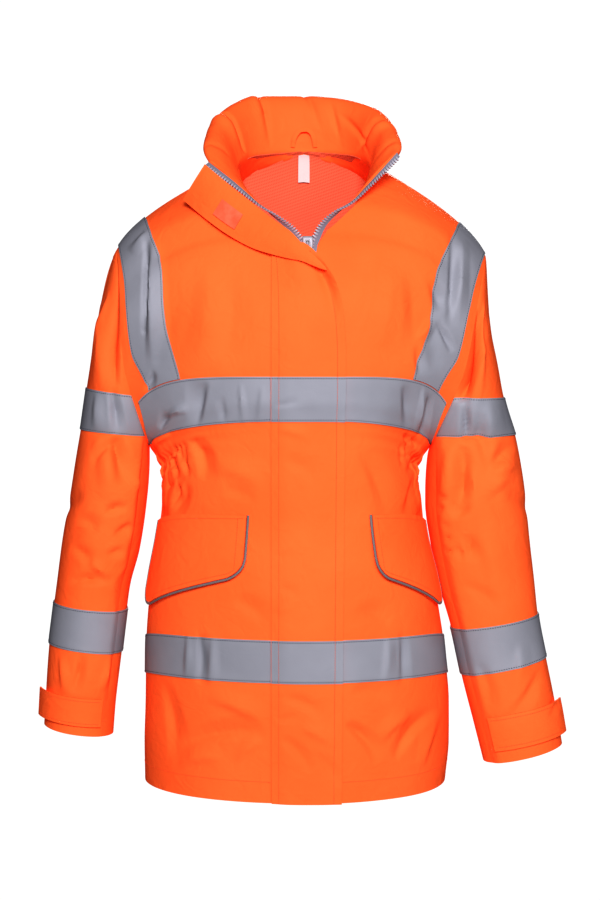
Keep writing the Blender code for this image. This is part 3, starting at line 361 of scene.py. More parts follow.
# The waist elastic gathers the cloth at each side seam.
WAIST = {"level": 0.87, "half_height": 0.085, "column": 0.93, "half_width": 0.13, "waves": 4.0,
         "depth": 2.6}
WAIST_PLEATS = {"z": -352.0, "half_height": 21.0, "reach": 52.0, "pitch": 8.2, "depth": 1.7}
SEAM_SCALLOPS = {"z": -352.0, "half_height": 30.0, "pitch": 17.0, "depth": 1.7}
FRONT_FOLDS = table(
    "column0  z0  column1  z1  half_width  depth",
    (0.93, -325,   0.55, -292,   9.0,  -3.0),
    (0.90, -383,   0.62, -445,  10.0,  -3.0),
    (0.97, -283,   0.60, -325,  12.0,   2.5),
    (0.80, -225,   0.52, -120,  14.0,  -3.0),
)
BACK_FOLDS = table(
    "column0  z0  column1  z1  half_width  depth",
    (0.92, -325,   0.50, -300,  11.0,  -3.5),
    (0.90, -383,   0.55, -430,  11.0,  -3.0),
    (0.70, -220,   0.35,  -75,  16.0,  -3.5),
)
ROW_SPAN = 190.0

# Fine grids: the levels and columns hold every band and brace edge.
LEVELS = steps((0.0, HIP_BAND[0], HIP_BAND[1], 1.0, 2.0, 3.0, 4.0, 5.0),
               (40, 15, 72, 18, 46, 24, 22))
COLUMNS = steps((0.0, BRACE_COLUMNS[0], BRACE_COLUMNS[1], CHEST_BAND_END, 1.0), (58, 25, 7, 5))
BAND_START_X = {Side.RIGHT: -25.9, Side.LEFT: 46.0}

RIGHT_FRONT_CREASES = crease_rows(
    (-167, -77, -167, -233, 0, 18.0, 5.0, 0.35, 0.45),
    (-176, -72, -175, -191, 1, 6.0, -3.2, 0.80, 0.50),
    (-180, -186, -172, -193, 0, 4.0, -1.8),
    (-174, -68, -196, -93, 1, 9.0, 2.5, 0.60, 0.40),
    (-165, -235, -177, -259, 1, 8.0, -3.0, 0.50, 0.40),
    (-112, -299, -103, -246, 1, 17.0, -4.6, 0.30, 0.50),
    (-159, -304, -146, -286, 1, 8.0, -3.6),
    (-147, -288, -124, -281, 2, 7.0, 3.0),
    (-62, -247, -58, -299, 0, 5.0, 1.6),
    (-79, -296, -84, -264, 0, 6.0, -1.6, 0.50, 0.40),
    (-36, -250, -41, -299, 1, 9.0, 1.4),
    (-168, -324, -147, -311, 1, 5.0, 2.6, 0.60, 0.50),
    (-142, -324, -147, -346, 1, 4.0, -3.2, 0.60, 0.40),
    (-138, -323, -135, -341, 0, 4.0, -3.4, 0.60, 0.50),
    (-137, -337, -125, -362, 1, 4.5, -3.6),
    (-153, -336, -140, -366, 2, 5.0, -4.2),
    (-132, -320, -131, -350, 1, 4.0, -2.4, 0.60, 0.40),
    (-142, -369, -127, -363, 0, 4.0, -2.6, 0.50, 0.40),
    (-139, -371, -148, -399, 1, 7.0, -4.8, 0.50, 0.30),
    (-126, -369, -151, -412, 2, 12.0, -4.0, 0.35, 0.40),
    (-155, -378, -144, -371, 0, 4.0, -2.2, 0.50, 0.40),
    (-121, -315, -102, -366, 3, 17.0, -5.4, 0.45, 0.35),
    (-99, -350, -36, -364, 4, 16.0, 2.0, 0.60, 0.50),
    (-83, -376, -44, -385, 2, 12.0, -2.0),
    (-102, -107, -113, -235, 6, 26.0, 2.6, 0.70, 0.50),
    (-71, -130, -83, -221, 5, 24.0, -1.8, 0.70, 0.50),
    (-71, -503, -29, -529, 3, 16.0, -2.3, 0.50, 0.40),
    (-125, -545, -127, -602, 1, 8.0, 2.2),
    (-112, -541, -111, -610, 2, 8.8, -3.1),
    (-96, -545, -98, -607, 1, 8.8, 2.0),
    (-103, -621, -32, -648, 6, 16.0, 2.8),
    (-137, -683, -34, -657, 8, 16.0, -4.0),
    (-137, -707, -83, -691, 5, 14.3, 2.5),
    (-67, -695, -36, -667, 3, 10.7, 1.9),
    (-155, -610, -141, -705, 3, 16.0, -3.1),
)
LEFT_FRONT_CREASES = crease_rows(
    (190, -68, 185, -185, 1, 8.0, -3.6, 0.70, 0.50),
    (202, -77, 190, -177, 1, 12.0, 3.2, 0.45, 0.50),
    (169, -177, 188, -214, 1, 7.0, -3.4),
    (164, -172, 148, -198, 1, 10.0, 3.6),
    (160, -128, 174, -165, 2, 14.0, -3.6, 0.50, 0.60),
    (144, -204, 149, -240, 1, 9.0, -2.6),
    (161, -264, 151, -316, 1, 8.0, -4.0),
    (153, -254, 147, -306, 1, 7.0, 3.0),
    (129, -250, 134, -301, 1, 14.0, -3.6, 0.40, 0.50),
    (132, -310, 139, -327, 1, 4.0, -3.2, 0.60, 0.50),
    (137, -322, 136, -341, 0, 4.0, -3.0, 0.60, 0.40),
    (142, -315, 149, -329, 1, 4.0, -3.0, 0.60, 0.40),
    (127, -322, 130, -350, 1, 4.0, -2.4, 0.60, 0.40),
    (150, -334, 136, -357, 1, 6.0, -3.6, 0.50, 0.40),
    (146, -364, 132, -408, 2, 13.0, -3.4, 0.40, 0.40),
    (154, -350, 142, -345, 0, 4.0, -2.0, 0.50, 0.40),
    (78, -329, 111, -408, 5, 18.0, -2.4),
    (115, -107, 101, -212, 5, 26.0, 2.2, 0.70, 0.50),
    (134, -116, 141, -210, 4, 20.0, -2.4, 0.60, 0.50),
    (111, -545, 108, -605, 1, 10.7, 2.2),
    (127, -543, 129, -610, 2, 8.8, -2.8),
    (61, -648, 101, -695, 5, 12.4, -4.7, 0.50, 0.30),
    (119, -695, 171, -641, 5, 14.3, -4.7),
    (101, -672, 139, -641, 3, 14.3, 2.8),
    (69, -610, 115, -624, 5, 16.0, -2.3, 0.50, 0.40),
    (154, -711, 176, -648, 2, 12.4, 2.5),
    (97, -90, 69, -210, 7, 28.6, 2.2),
    (73, -515, 115, -534, 5, 17.8, -2.3),
)
BACK_CREASES = crease_rows(
    (-168, -312, -96, -283, 6, 11.9, -4.0, 0.50, 0.40),
    (-158, -352, -98, -398, 5, 11.9, -4.3, 0.50, 0.35),
    (-60, -334, 22, -352, 6, 17.0, 2.5),
    (-118, -258, -90, -132, 9, 20.4, -3.1),
    (162, -318, 88, -290, 5, 11.9, -3.7, 0.50, 0.40),
    (150, -356, 84, -412, 6, 13.6, -4.3, 0.50, 0.35),
    (112, -246, 96, -120, 8, 20.4, 2.8),
    (30, -395, 52, -505, 7, 18.7, -2.5, 0.50, 0.45),
    (-50, -420, -72, -530, 6, 18.7, -2.5, 0.50, 0.45),
    (-132, -640, -60, -668, 6, 15.3, -3.4),
    (-42, -690, 58, -664, 8, 15.3, 2.8),
    (84, -634, 150, -680, 6, 15.3, -3.7, 0.50, 0.40),
    (96, -545, 98, -604, 1, 8.8, 2.2),
    (-84, -543, -88, -606, 1, 8.8, -2.5),
    (-20, -120, 36, -92, 6, 23.8, 2.5),
)


def armhole_point(side: Side, angle: Array, gap: float = 0.0) -> Array:
    """The armhole seam: 0 degrees at the shoulder tip, 90 at the front, 180 at the underarm.

    It is an ellipse from tip to underarm that bows out by bow * sin^4 and is a tenth
    shallower near the tip.

    Args:
        side: Which armhole.
        angle: Degrees round it, minus towards the back.
        gap: How far outside the seam the line runs.

    Returns:
        Points in millimetres.
    """
    turn = np.radians(angle)
    tip_x, under_x = SHOULDER_TIP_X[side], UNDERARM_X[side]
    share = (1 - np.cos(turn)) / 2
    bow = side.sign * ARMHOLE_BOW * np.sin(turn) ** 4 * np.clip(1.6 * share, 0, 1)
    x = tip_x + (under_x - tip_x) * share + bow + side.sign * gap
    y = -ARMHOLE_DEPTH * np.sin(turn) * (0.90 + 0.10 * share)
    z = SHOULDER_TIP_Z + (UNDERARM_Z - SHOULDER_TIP_Z) * share
    if side is Side.LEFT:
        z = z - LEFT_SHOULDER_DROP * (1 - share)
    return np.stack([x, y, z], axis=-1)


def armhole_normal(angle: Array) -> Array:
    """The normal that panels and sleeves share along the armhole seam."""
    turn = np.radians(angle)
    return np.stack([np.zeros_like(turn), -np.sin(turn), np.cos(turn)], axis=-1)


def fold_lift(starts: zip, ends: zip, widths: Array, depths: Array, across: Array,
              up: Array) -> Array:
    """The largest folds, which the solids have too: straight troughs that fade along.

    Args:
        starts: Where each fold begins, across and up.
        ends: Where it ends.
        widths: Half widths.
        depths: Depths, minus for a trough.
        across: The points' places across the cloth.
        up: Their places up the cloth.

    Returns:
        The lift of every point.
    """
    lift = np.zeros(np.shape(across))
    for start, end, half_width, depth in zip(starts, ends, widths, depths):
        share, off = off_line(across, up, start, end)
        fade = np.clip(share * 6, 0, 1) * np.clip((1 - share) * 2, 0, 1)
        lift = lift + depth * fade * np.exp(-(off / half_width) ** 2)
    return lift


@dataclass
class Panel:
    """Half of the front or back by column, 0 at its inner edge to 1 outside, and level."""

    side: Side
    face: Face
    creases: Creases

    def __post_init__(self) -> None:
        """Picks the face's tables."""
        self.front = self.face is Face.FRONT
        self.folds = FRONT_FOLDS if self.front else BACK_FOLDS
        self.levels = FRONT_LEVELS if self.front else BACK_LEVELS

    def inner(self, level: Array) -> Array:
        """The zip edge, or the middle of the back, whose neckline is a quarter of an ellipse."""
        y = look_up(self.levels, "level", "edge_y", level)
        z = look_up(self.levels, "level", "edge_z", level)
        if self.front:
            x = np.interp(level, EDGE_X["level"], EDGE_X[self.side.value])
        else:
            neck = np.clip(level - 4, 0, 1)
            x = look_up(self.levels, "level", "edge_x", level)
            x = x + self.side.sign * NECK_HALF_WIDTH * np.sin(neck * math.pi / 2)
            y = np.where(level > 4, NECK_DEPTH * np.cos(neck * math.pi / 2), y)
        return np.stack([x, y, z], axis=-1)

    def outer(self, level: Array) -> Array:
        """The side seam, scalloped by the waist elastic, and above it the armhole."""
        z = HEM_Z + (UNDERARM_Z - HEM_Z) * np.clip(level, 0, 1)
        scallop = np.sin((z - SEAM_SCALLOPS["z"]) * 2 * math.pi / SEAM_SCALLOPS["pitch"])
        near = np.exp(-((z - SEAM_SCALLOPS["z"]) / SEAM_SCALLOPS["half_height"]) ** 4)
        near = near * np.clip((1 - level) * 12, 0, 1)
        x = look_up(SIDE_SEAM, "z", self.side.value, z)
        x = x + self.side.sign * SEAM_SCALLOPS["depth"] * scallop * near
        seam = np.stack([x, np.zeros_like(z), z], axis=-1)
        angle = np.interp(level, ARMHOLE["level"], ARMHOLE["angle"])
        loop = armhole_point(self.side, angle if self.front else -angle)
        return np.where((np.asarray(level) > 1)[..., None], loop, seam)

    def base(self, share: Array, level: Array) -> Array:
        """A row: an ellipse's arc from the inner edge, facing front, round to the outer edge.

        It drops late, near its outer end, and more evenly towards the shoulder seam.

        Args:
            share: How far along the row, 0 to 1.
            level: The row.

        Returns:
            Points in millimetres, without creases.
        """
        inner, outer = self.inner(level), self.outer(level)
        sweep = np.radians(look_up(self.levels, "level", "sweep", level))
        across = np.sin(share * sweep) / np.sin(sweep)
        deep = (1 - np.cos(share * sweep)) / (1 - np.cos(sweep))
        late = look_up(self.levels, "level", "late", level)
        even = look_up(self.levels, "level", "even", level)
        drop = across * even + deep ** late * (1 - even)
        return inner + (outer - inner) * np.stack([across, deep, drop], axis=-1)

    def share(self, column: Array, level: Array) -> Array:
        """Columns spread so that two of them run along the brace tape's edges."""
        low, high = BRACE_COLUMNS
        first = look_up(BRACE, "level", "inner", level)
        last = look_up(BRACE, "level", "outer", level)
        inside = column * first / low
        middle = first + (column - low) * (last - first) / (high - low)
        beyond = last + (column - high) * (1 - last) / (1 - high)
        return np.where(column < low, inside, np.where(column < high, middle, beyond))

    def column_at(self, x: Array, level: Array) -> Array:
        """The column where a row passes x."""
        inner, outer = self.inner(level)[..., 0], self.outer(level)[..., 0]
        sweep = np.radians(look_up(self.levels, "level", "sweep", level))
        across = np.clip((x - inner) / (outer - inner), 0, 1)
        share = np.arcsin(across * np.sin(sweep)) / sweep
        return share * BRACE_COLUMNS[0] / look_up(BRACE, "level", "inner", level)

    def solid_lift(self, column: Array, level: Array) -> Array:
        """The folds and waist gathers that the solids have: a wave fading from the seam."""
        rows = self.folds
        height = look_up(self.levels, "level", "edge_z", level)
        folds = fold_lift(zip(rows["column0"] * ROW_SPAN, rows["z0"]),
                          zip(rows["column1"] * ROW_SPAN, rows["z1"]),
                          rows["half_width"], rows["depth"], column * ROW_SPAN, height)
        near = np.exp(-((level - WAIST["level"]) / WAIST["half_height"]) ** 2)
        near = near * np.exp(-(((column - WAIST["column"]) / WAIST["half_width"]) ** 4))
        wave = np.sin((1 - column) / WAIST["half_width"] * WAIST["waves"] * math.pi / 2)
        edge = np.clip((1 - column) * 12, 0, 1) * np.clip(column * 5, 0, 1)
        return (folds + near * WAIST["depth"] * wave) * edge

    def pleats(self, base: Array, column: Array) -> Array:
        """Fine pleats of the waist elastic: a sine along the row that swells at the casing."""
        gone = (1 - column) * ROW_SPAN
        swing = 1.5 * np.sin(base[..., 2] / 5.3)
        wave = np.sin((gone + swing) * 2 * math.pi / WAIST_PLEATS["pitch"])
        high = np.exp(-((base[..., 2] - WAIST_PLEATS["z"]) / WAIST_PLEATS["half_height"]) ** 2)
        far = np.clip(1 - gone / WAIST_PLEATS["reach"], 0, 1) ** 0.5
        return WAIST_PLEATS["depth"] * wave * high * far

    def lift(self, column: Array, level: Array, base: Array) -> Array:
        """All the relief of the panel's outer face.

        Args:
            column: The points' columns.
            level: Their levels.
            base: The points without relief.

        Returns:
            Lifts along the normals, none at a seam.
        """
        x, y, z = base[..., 0], base[..., 1], base[..., 2]
        edge = np.clip((1 - column) * 20, 0, 1) * np.clip(column * 12, 0, 1)
        edge = edge * np.clip((5 - level) * 3, 0, 1)
        fine = self.creases.lift(x, z) + self.pleats(base, column) + unevenness(x, y, z)
        return self.solid_lift(column, level) + fine * edge

    def normal(self, column: Array, level: Array) -> Array:
        """The outward normal, from small steps along the row and up."""
        step = 1e-3
        c0, c1 = np.clip(column - step, 0, 1), np.clip(column + step, 0, 1)
        l0, l1 = np.clip(level - step, 0, 5), np.clip(level + step, 0, 5)
        along = self.base(self.share(c1, level), level) - self.base(self.share(c0, level), level)
        up = self.base(self.share(column, l1), l1) - self.base(self.share(column, l0), l0)
        return unit(np.cross(along, up) * self.side.sign * (1 if self.front else -1))

    def seam_normal(self, column: Array, level: Array) -> Array:
        """Where two panels meet they share one normal, so their walls end side by side."""
        normal = self.normal(column, level)
        side = np.zeros_like(normal)
        side[..., 0] = self.side.sign
        shoulder = normal.copy()
        shoulder[..., 1] = 0.0
        shoulder = unit(shoulder)
        angle = np.interp(level, ARMHOLE["level"], ARMHOLE["angle"])
        loop = armhole_normal(angle if self.front else -angle) + 0 * normal
        at_side = np.clip((column - 0.985) / 0.014, 0, 1) * (level <= 1)
        at_loop = np.clip((column - 0.985) / 0.014, 0, 1) * (level > 1)
        at_top = np.clip((level - 4.9) / 0.099, 0, 1) * (1 - at_loop)
        for weight, goal in ((at_side, side), (at_loop, loop), (at_top, shoulder)):
            normal = unit(normal + (goal - normal) * weight[..., None])
        return normal

    def points(self, column: Array, level: Array, out: Array | float = 0.0,
               relief: float = 1.0) -> tuple[Array, Array]:
        """Surface points, kept half a seam gap from the side and shoulder seams.

        Args:
            column: The points' columns.
            level: Their levels.
            out: How far outside the cloth's outer face.
            relief: The share of the lifts that is kept.

        Returns:
            Points and normals.
        """
        normal = self.seam_normal(column, level)
        point = self.base(self.share(column, level), level)
        lift = self.lift(column, level, point) * relief
        point = point + normal * (lift + out)[..., None]
        back = -1.0 if self.front else 1.0
        seam = np.clip((column - 0.95) * 20, 0, 1) * (level <= 1) + np.clip(level - 4, 0, 1)
        point[..., 1] += back * SEAM_GAP / 2 * np.clip(seam, 0, 1)
        armhole = np.clip((column - 0.95) * 20, 0, 1) * (level > 1)
        point[..., 0] -= self.side.sign * SEAM_GAP / 2 * armhole
        return point, normal


Patch = tuple[Array, Array]
Panels = dict[tuple[Side, Face], Panel]


def arc_lengths(points: Array, axis: int) -> Array:
    """Lengths along the cloth from the grid's first line, averaged across the other way."""
    length = np.linalg.norm(np.diff(points, axis=axis), axis=-1).mean(axis=1 - axis)
    return np.concatenate([[0.0], np.cumsum(length)])


def load_mesh(name: str, points: Array, faces: list, finish: bpy.types.Material,
              cloth: Array | None = None, sharp: float = 50.0) -> bpy.types.Object:
    """Puts points and faces in a new object.

    Args:
        name: The piece's name.
        points: Points in millimetres.
        faces: Point numbers of each face.
        finish: Its material.
        cloth: Where each point lies on the flat cloth, in metres, for the weave.
        sharp: Degrees between faces from which an edge is drawn sharp.

    Returns:
        The piece.
    """
    mesh = bpy.data.meshes.new(name)
    mesh.from_pydata((np.asarray(points) * MM).tolist(), [], faces)
    mesh.shade_smooth()
    mesh.set_sharp_from_angle(angle=math.radians(sharp))
    if cloth is not None:
        layer = mesh.uv_layers.new(name="cloth")
        corners = np.zeros(len(mesh.loops), int)
        mesh.loops.foreach_get("vertex_index", corners)
        layer.data.foreach_set("uv", cloth[corners].astype(np.float32).ravel())
    mesh.materials.append(finish)
    item = bpy.data.objects.new(name, mesh)
    bpy.context.scene.collection.objects.link(item)
    return item


def split_faces(quads: Array) -> tuple[Array, Array]:
    """Whole quads, and as triangles what is left of quads that have two corners in one."""
    whole = np.array([(quads[:, i] != quads[:, j]) for i in range(4) for j in range(i)]).all(0)
    rest = quads[~whole]
    halves = np.concatenate([rest[:, [0, 1, 2]], rest[:, [0, 2, 3]]])
    real = ((halves[:, 0] != halves[:, 1]) & (halves[:, 1] != halves[:, 2])
            & (halves[:, 0] != halves[:, 2]))
    return quads[whole], halves[real]


def wall(name: str, patches: list[Patch], thickness: float,
         finish: bpy.types.Material) -> bpy.types.Object:
    """A closed wall of cloth: outer grids, the same points moved in, and a rim between.

    Grid points that fall together are welded, so that patches join and poles close. The rim
    stands on every edge that only one face has.

    Args:
        name: The piece's name.
        patches: Outer points and normals on grids.
        thickness: How far in the inner face lies.
        finish: The cloth's material.

    Returns:
        The piece.
    """
    points = np.concatenate([p.reshape(-1, 3) for p, _ in patches])
    normals = np.concatenate([n.reshape(-1, 3) for _, n in patches])
    flat = [np.stack(np.broadcast_arrays(arc_lengths(p, 1)[None, :], arc_lengths(p, 0)[:, None]),
                     axis=-1).reshape(-1, 2) for p, _ in patches]
    cloth = np.concatenate(flat) * MM
    _, first, weld = np.unique(np.round(points, 3), axis=0, return_index=True,
                               return_inverse=True)
    weld = weld.reshape(-1)
    quads, start = [], 0
    for p, n in patches:
        rows, columns = p.shape[:2]
        ids = weld[start:start + rows * columns].reshape(rows, columns)
        start += rows * columns
        turn = np.cross(np.diff(p, axis=1)[:-1], np.diff(p, axis=0)[:, :-1])
        corners = np.stack([ids[:-1, :-1], ids[:-1, 1:], ids[1:, 1:], ids[1:, :-1]], axis=-1)
        corners = corners.reshape(-1, 4)
        quads.append(corners if np.sum(turn * n[:-1, :-1]) > 0 else corners[:, ::-1])
    whole, thirds = split_faces(np.concatenate(quads))
    count = len(first)
    edges = np.concatenate([np.stack([f, np.roll(f, -1, axis=1)], -1).reshape(-1, 2)
                            for f in (whole, thirds)])
    paired = np.isin(edges[:, 0] * count + edges[:, 1], edges[:, 1] * count + edges[:, 0])
    a, b = edges[~paired].T
    rims = np.stack([b, a, a + count, b + count], axis=-1)
    outer = points[first]
    inner = outer - normals[first] * thickness
    faces = [f.tolist() for f in (whole, thirds, whole[:, ::-1] + count,
                                  thirds[:, ::-1] + count, rims)]
    return load_mesh(name, np.concatenate([outer, inner]), sum(faces, []), finish,
                     np.tile(cloth[first], (2, 1)))


def tube(name: str, rings: Array, finish: bpy.types.Material,
         sharp: float = 50.0) -> bpy.types.Object:
    """A closed form through rings of points, with flat ends.

    Args:
        name: The piece's name.
        rings: Points by ring and place round it.
        finish: Its material.
        sharp: Degrees from which an edge is sharp.

    Returns:
        The piece.
    """
    rows, size = rings.shape[:2]
    ids = np.arange(rows * size).reshape(rows, size)
    after = np.roll(ids, -1, axis=1)
    quads = np.stack([ids[:-1], after[:-1], after[1:], ids[1:]], axis=-1).reshape(-1, 4)
    centre = rings.mean(axis=1, keepdims=True)
    ahead = np.roll(rings, -1, axis=1) - rings
    turn = np.cross(ahead[:-1], np.diff(rings, axis=0))
    outward = np.sum(turn * (rings - centre)[:-1]) > 0
    faces = [*quads.tolist(), ids[0][::-1].tolist(), ids[-1].tolist()]
    if not outward:
        faces = [face[::-1] for face in faces]
    around = np.linspace(0, 1, size)[None, :] * np.linalg.norm(ahead[0], axis=-1).sum()
    flat = np.broadcast_arrays(around, arc_lengths(rings, 0)[:, None])
    return load_mesh(name, rings.reshape(-1, 3), faces, finish,
                     np.stack(flat, axis=-1).reshape(-1, 2) * MM, sharp)


def strip(line: Array, aside: Array, normal: Array, shares: Array) -> Patch:
    """A narrow surface: a line of points, moved aside by shares of a vector at each.

    Args:
        line: The points along the strip.
        aside: The vector across it at each point.
        normal: The normal at each point.
        shares: The shares of the vector, one for each row of points.

    Returns:
        Points and normals.
    """
    points = line[:, None] + aside[:, None] * shares[None, :, None]
    return points, np.repeat(normal[:, None], len(shares), axis=1)


def set_out(shape: Array, centres: Array, *axes: Array) -> Array:
    """Copies of a small shape, each at its centre and turned to its own three directions."""
    turned = (axis[:, None] * shape[None, :, i:i + 1] for i, axis in enumerate(axes))
    return sum(turned, start=centres[:, None])


def repeat_faces(faces: list, size: int, count: int) -> list:
    """A small shape's faces for each of its copies, whose points follow one another."""
    return [[i + k * size for i in face] for k in range(count) for face in faces]


def squared(wave: Array, power: float) -> Array:
    """A circle's sine or cosine to a power with its sign kept, which squares the circle."""
    return np.sign(wave) * np.abs(wave) ** power


@dataclass(frozen=True)
class Cut:
    """How a piece of cloth was cut: its flat width, length and area, in metres."""

    width: float
    length: float
    area: float | None = None
    held: str = "laid"
    rests_on: tuple[str, ...] = ()


def fit(item: bpy.types.Object, nodes: tuple[str, ...] = (), cut: Cut | None = None,
        body: str = "jacket") -> bpy.types.Object:
    """Ties a piece to the frame and reports it.

    Args:
        item: The piece.
        nodes: The solids that it stands for.
        cut: Its flat size, where it is a sheet; not used.
        body: The body that it moves with.

    Returns:
        The piece.
    """
    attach(item, body)
    if nodes:
        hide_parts(*nodes)
    areas = np.zeros(len(item.data.polygons))
    item.data.polygons.foreach_get("area", areas)
    LOG.info("%s, %d faces, %.4f square metres a side", item.name, len(areas), areas.sum() / 2)
    return item


class Recipe:
    """The nodes of a material or a group, each added and wired in one call."""

    def __init__(self, tree: bpy.types.NodeTree) -> None:
        """Keeps the tree that nodes are added to."""
        self.tree = tree

    def wire(self, value: object, socket: bpy.types.NodeSocket) -> None:
        """Links another node's output to an input, or sets the input to a plain value."""
        if isinstance(value, bpy.types.NodeSocket):
            self.tree.links.new(value, socket)
        else:
            socket.default_value = value

    def add(self, kind: str, wires: dict | None = None, **settings: object) -> bpy.types.Node:
        """Adds a node.

        Args:
            kind: The node's type.
            wires: A value or another node's output for each input.
            settings: The node's own settings.

        Returns:
            The node.
        """
        node = self.tree.nodes.new(kind)
        for key, value in settings.items():
            setattr(node, key, value)
        for key, value in (wires or {}).items():
            self.wire(value, node.inputs[key])
        return node

    def maths(self, operation: str, first: object, second: object = 0.0) -> bpy.types.NodeSocket:
        """The result of a sum on two values."""
        return self.add("ShaderNodeMath", {0: first, 1: second}, operation=operation).outputs[0]

    def mix(self, share: object, first: object, second: object) -> bpy.types.NodeSocket:
        """The blend of two colours by a share."""
        node = self.add("ShaderNodeMix", {0: share}, data_type="RGBA")
        colours = [socket for socket in node.inputs if socket.type == "RGBA"]
        for value, socket in zip((first, second), colours):
            self.wire(value, socket)
        return next(socket for socket in node.outputs if socket.type == "RGBA")


def start_group(name: str, inputs: dict[str, float | str],
                outputs: tuple[str, ...]) -> tuple[Recipe, bpy.types.Node, bpy.types.Node]:
    """A new shader node group with named sockets.

    Args:
        name: The group's name.
        inputs: Each input's start value, or "vector".
        outputs: Names of value outputs.

    Returns:
        Its recipe, its input node and its output node.
    """
    tree = bpy.data.node_groups.new(name, "ShaderNodeTree")
    for key, value in inputs.items():
        kind = "NodeSocketVector" if value == "vector" else "NodeSocketFloat"
        socket = tree.interface.new_socket(key, in_out="INPUT", socket_type=kind)
        if value != "vector":
            socket.default_value = value
    for key in outputs:
        tree.interface.new_socket(key, in_out="OUTPUT", socket_type="NodeSocketFloat")
    recipe = Recipe(tree)
    return recipe, recipe.add("NodeGroupInput"), recipe.add("NodeGroupOutput")


def weave_group() -> bpy.types.NodeTree:
    """Plain weave: the product of two sines of the flat cloth's coordinates, over and under."""
    recipe, given, result = start_group("plain_weave", {"Vector": "vector", "Pitch": 0.0006},
                                        ("Height",))
    parts = recipe.add("ShaderNodeSeparateXYZ", {0: given.outputs["Vector"]})
    turns = [recipe.maths("SINE", recipe.maths("DIVIDE", recipe.maths(
        "MULTIPLY", parts.outputs[i], math.pi), given.outputs["Pitch"])) for i in (0, 1)]
    height = recipe.maths("MULTIPLY_ADD", recipe.maths("MULTIPLY", *turns), 0.5)
    recipe.wire(0.5, height.node.inputs[2])
    recipe.wire(height, result.inputs["Height"])
    return recipe.tree


def crumple_group() -> bpy.types.NodeTree:
    """Handling wrinkles: ridges of a warped noise over a slower one."""
    recipe, given, result = start_group("crumple", {"Vector": "vector", "Size": 0.02},
                                        ("Height", "Slow"))
    scale = recipe.maths("DIVIDE", 1.0, given.outputs["Size"])
    near = recipe.add("ShaderNodeTexNoise", {"Vector": given.outputs["Vector"], "Scale": scale,
                                             "Detail": 3.0, "Roughness": 0.45,
                                             "Distortion": 0.6})
    slow_scale = recipe.maths("MULTIPLY", scale, 0.23)
    slow = recipe.add("ShaderNodeTexNoise", {"Vector": given.outputs["Vector"],
                                             "Scale": slow_scale, "Detail": 2.0})
    fold = recipe.maths("ABSOLUTE", recipe.maths("SUBTRACT", near.outputs["Fac"], 0.5))
    recipe.wire(recipe.maths("MULTIPLY", fold, 2.0), result.inputs["Height"])
    recipe.wire(slow.outputs["Fac"], result.inputs["Slow"])
    return recipe.tree


WEAVE = weave_group()
CRUMPLE = crumple_group()


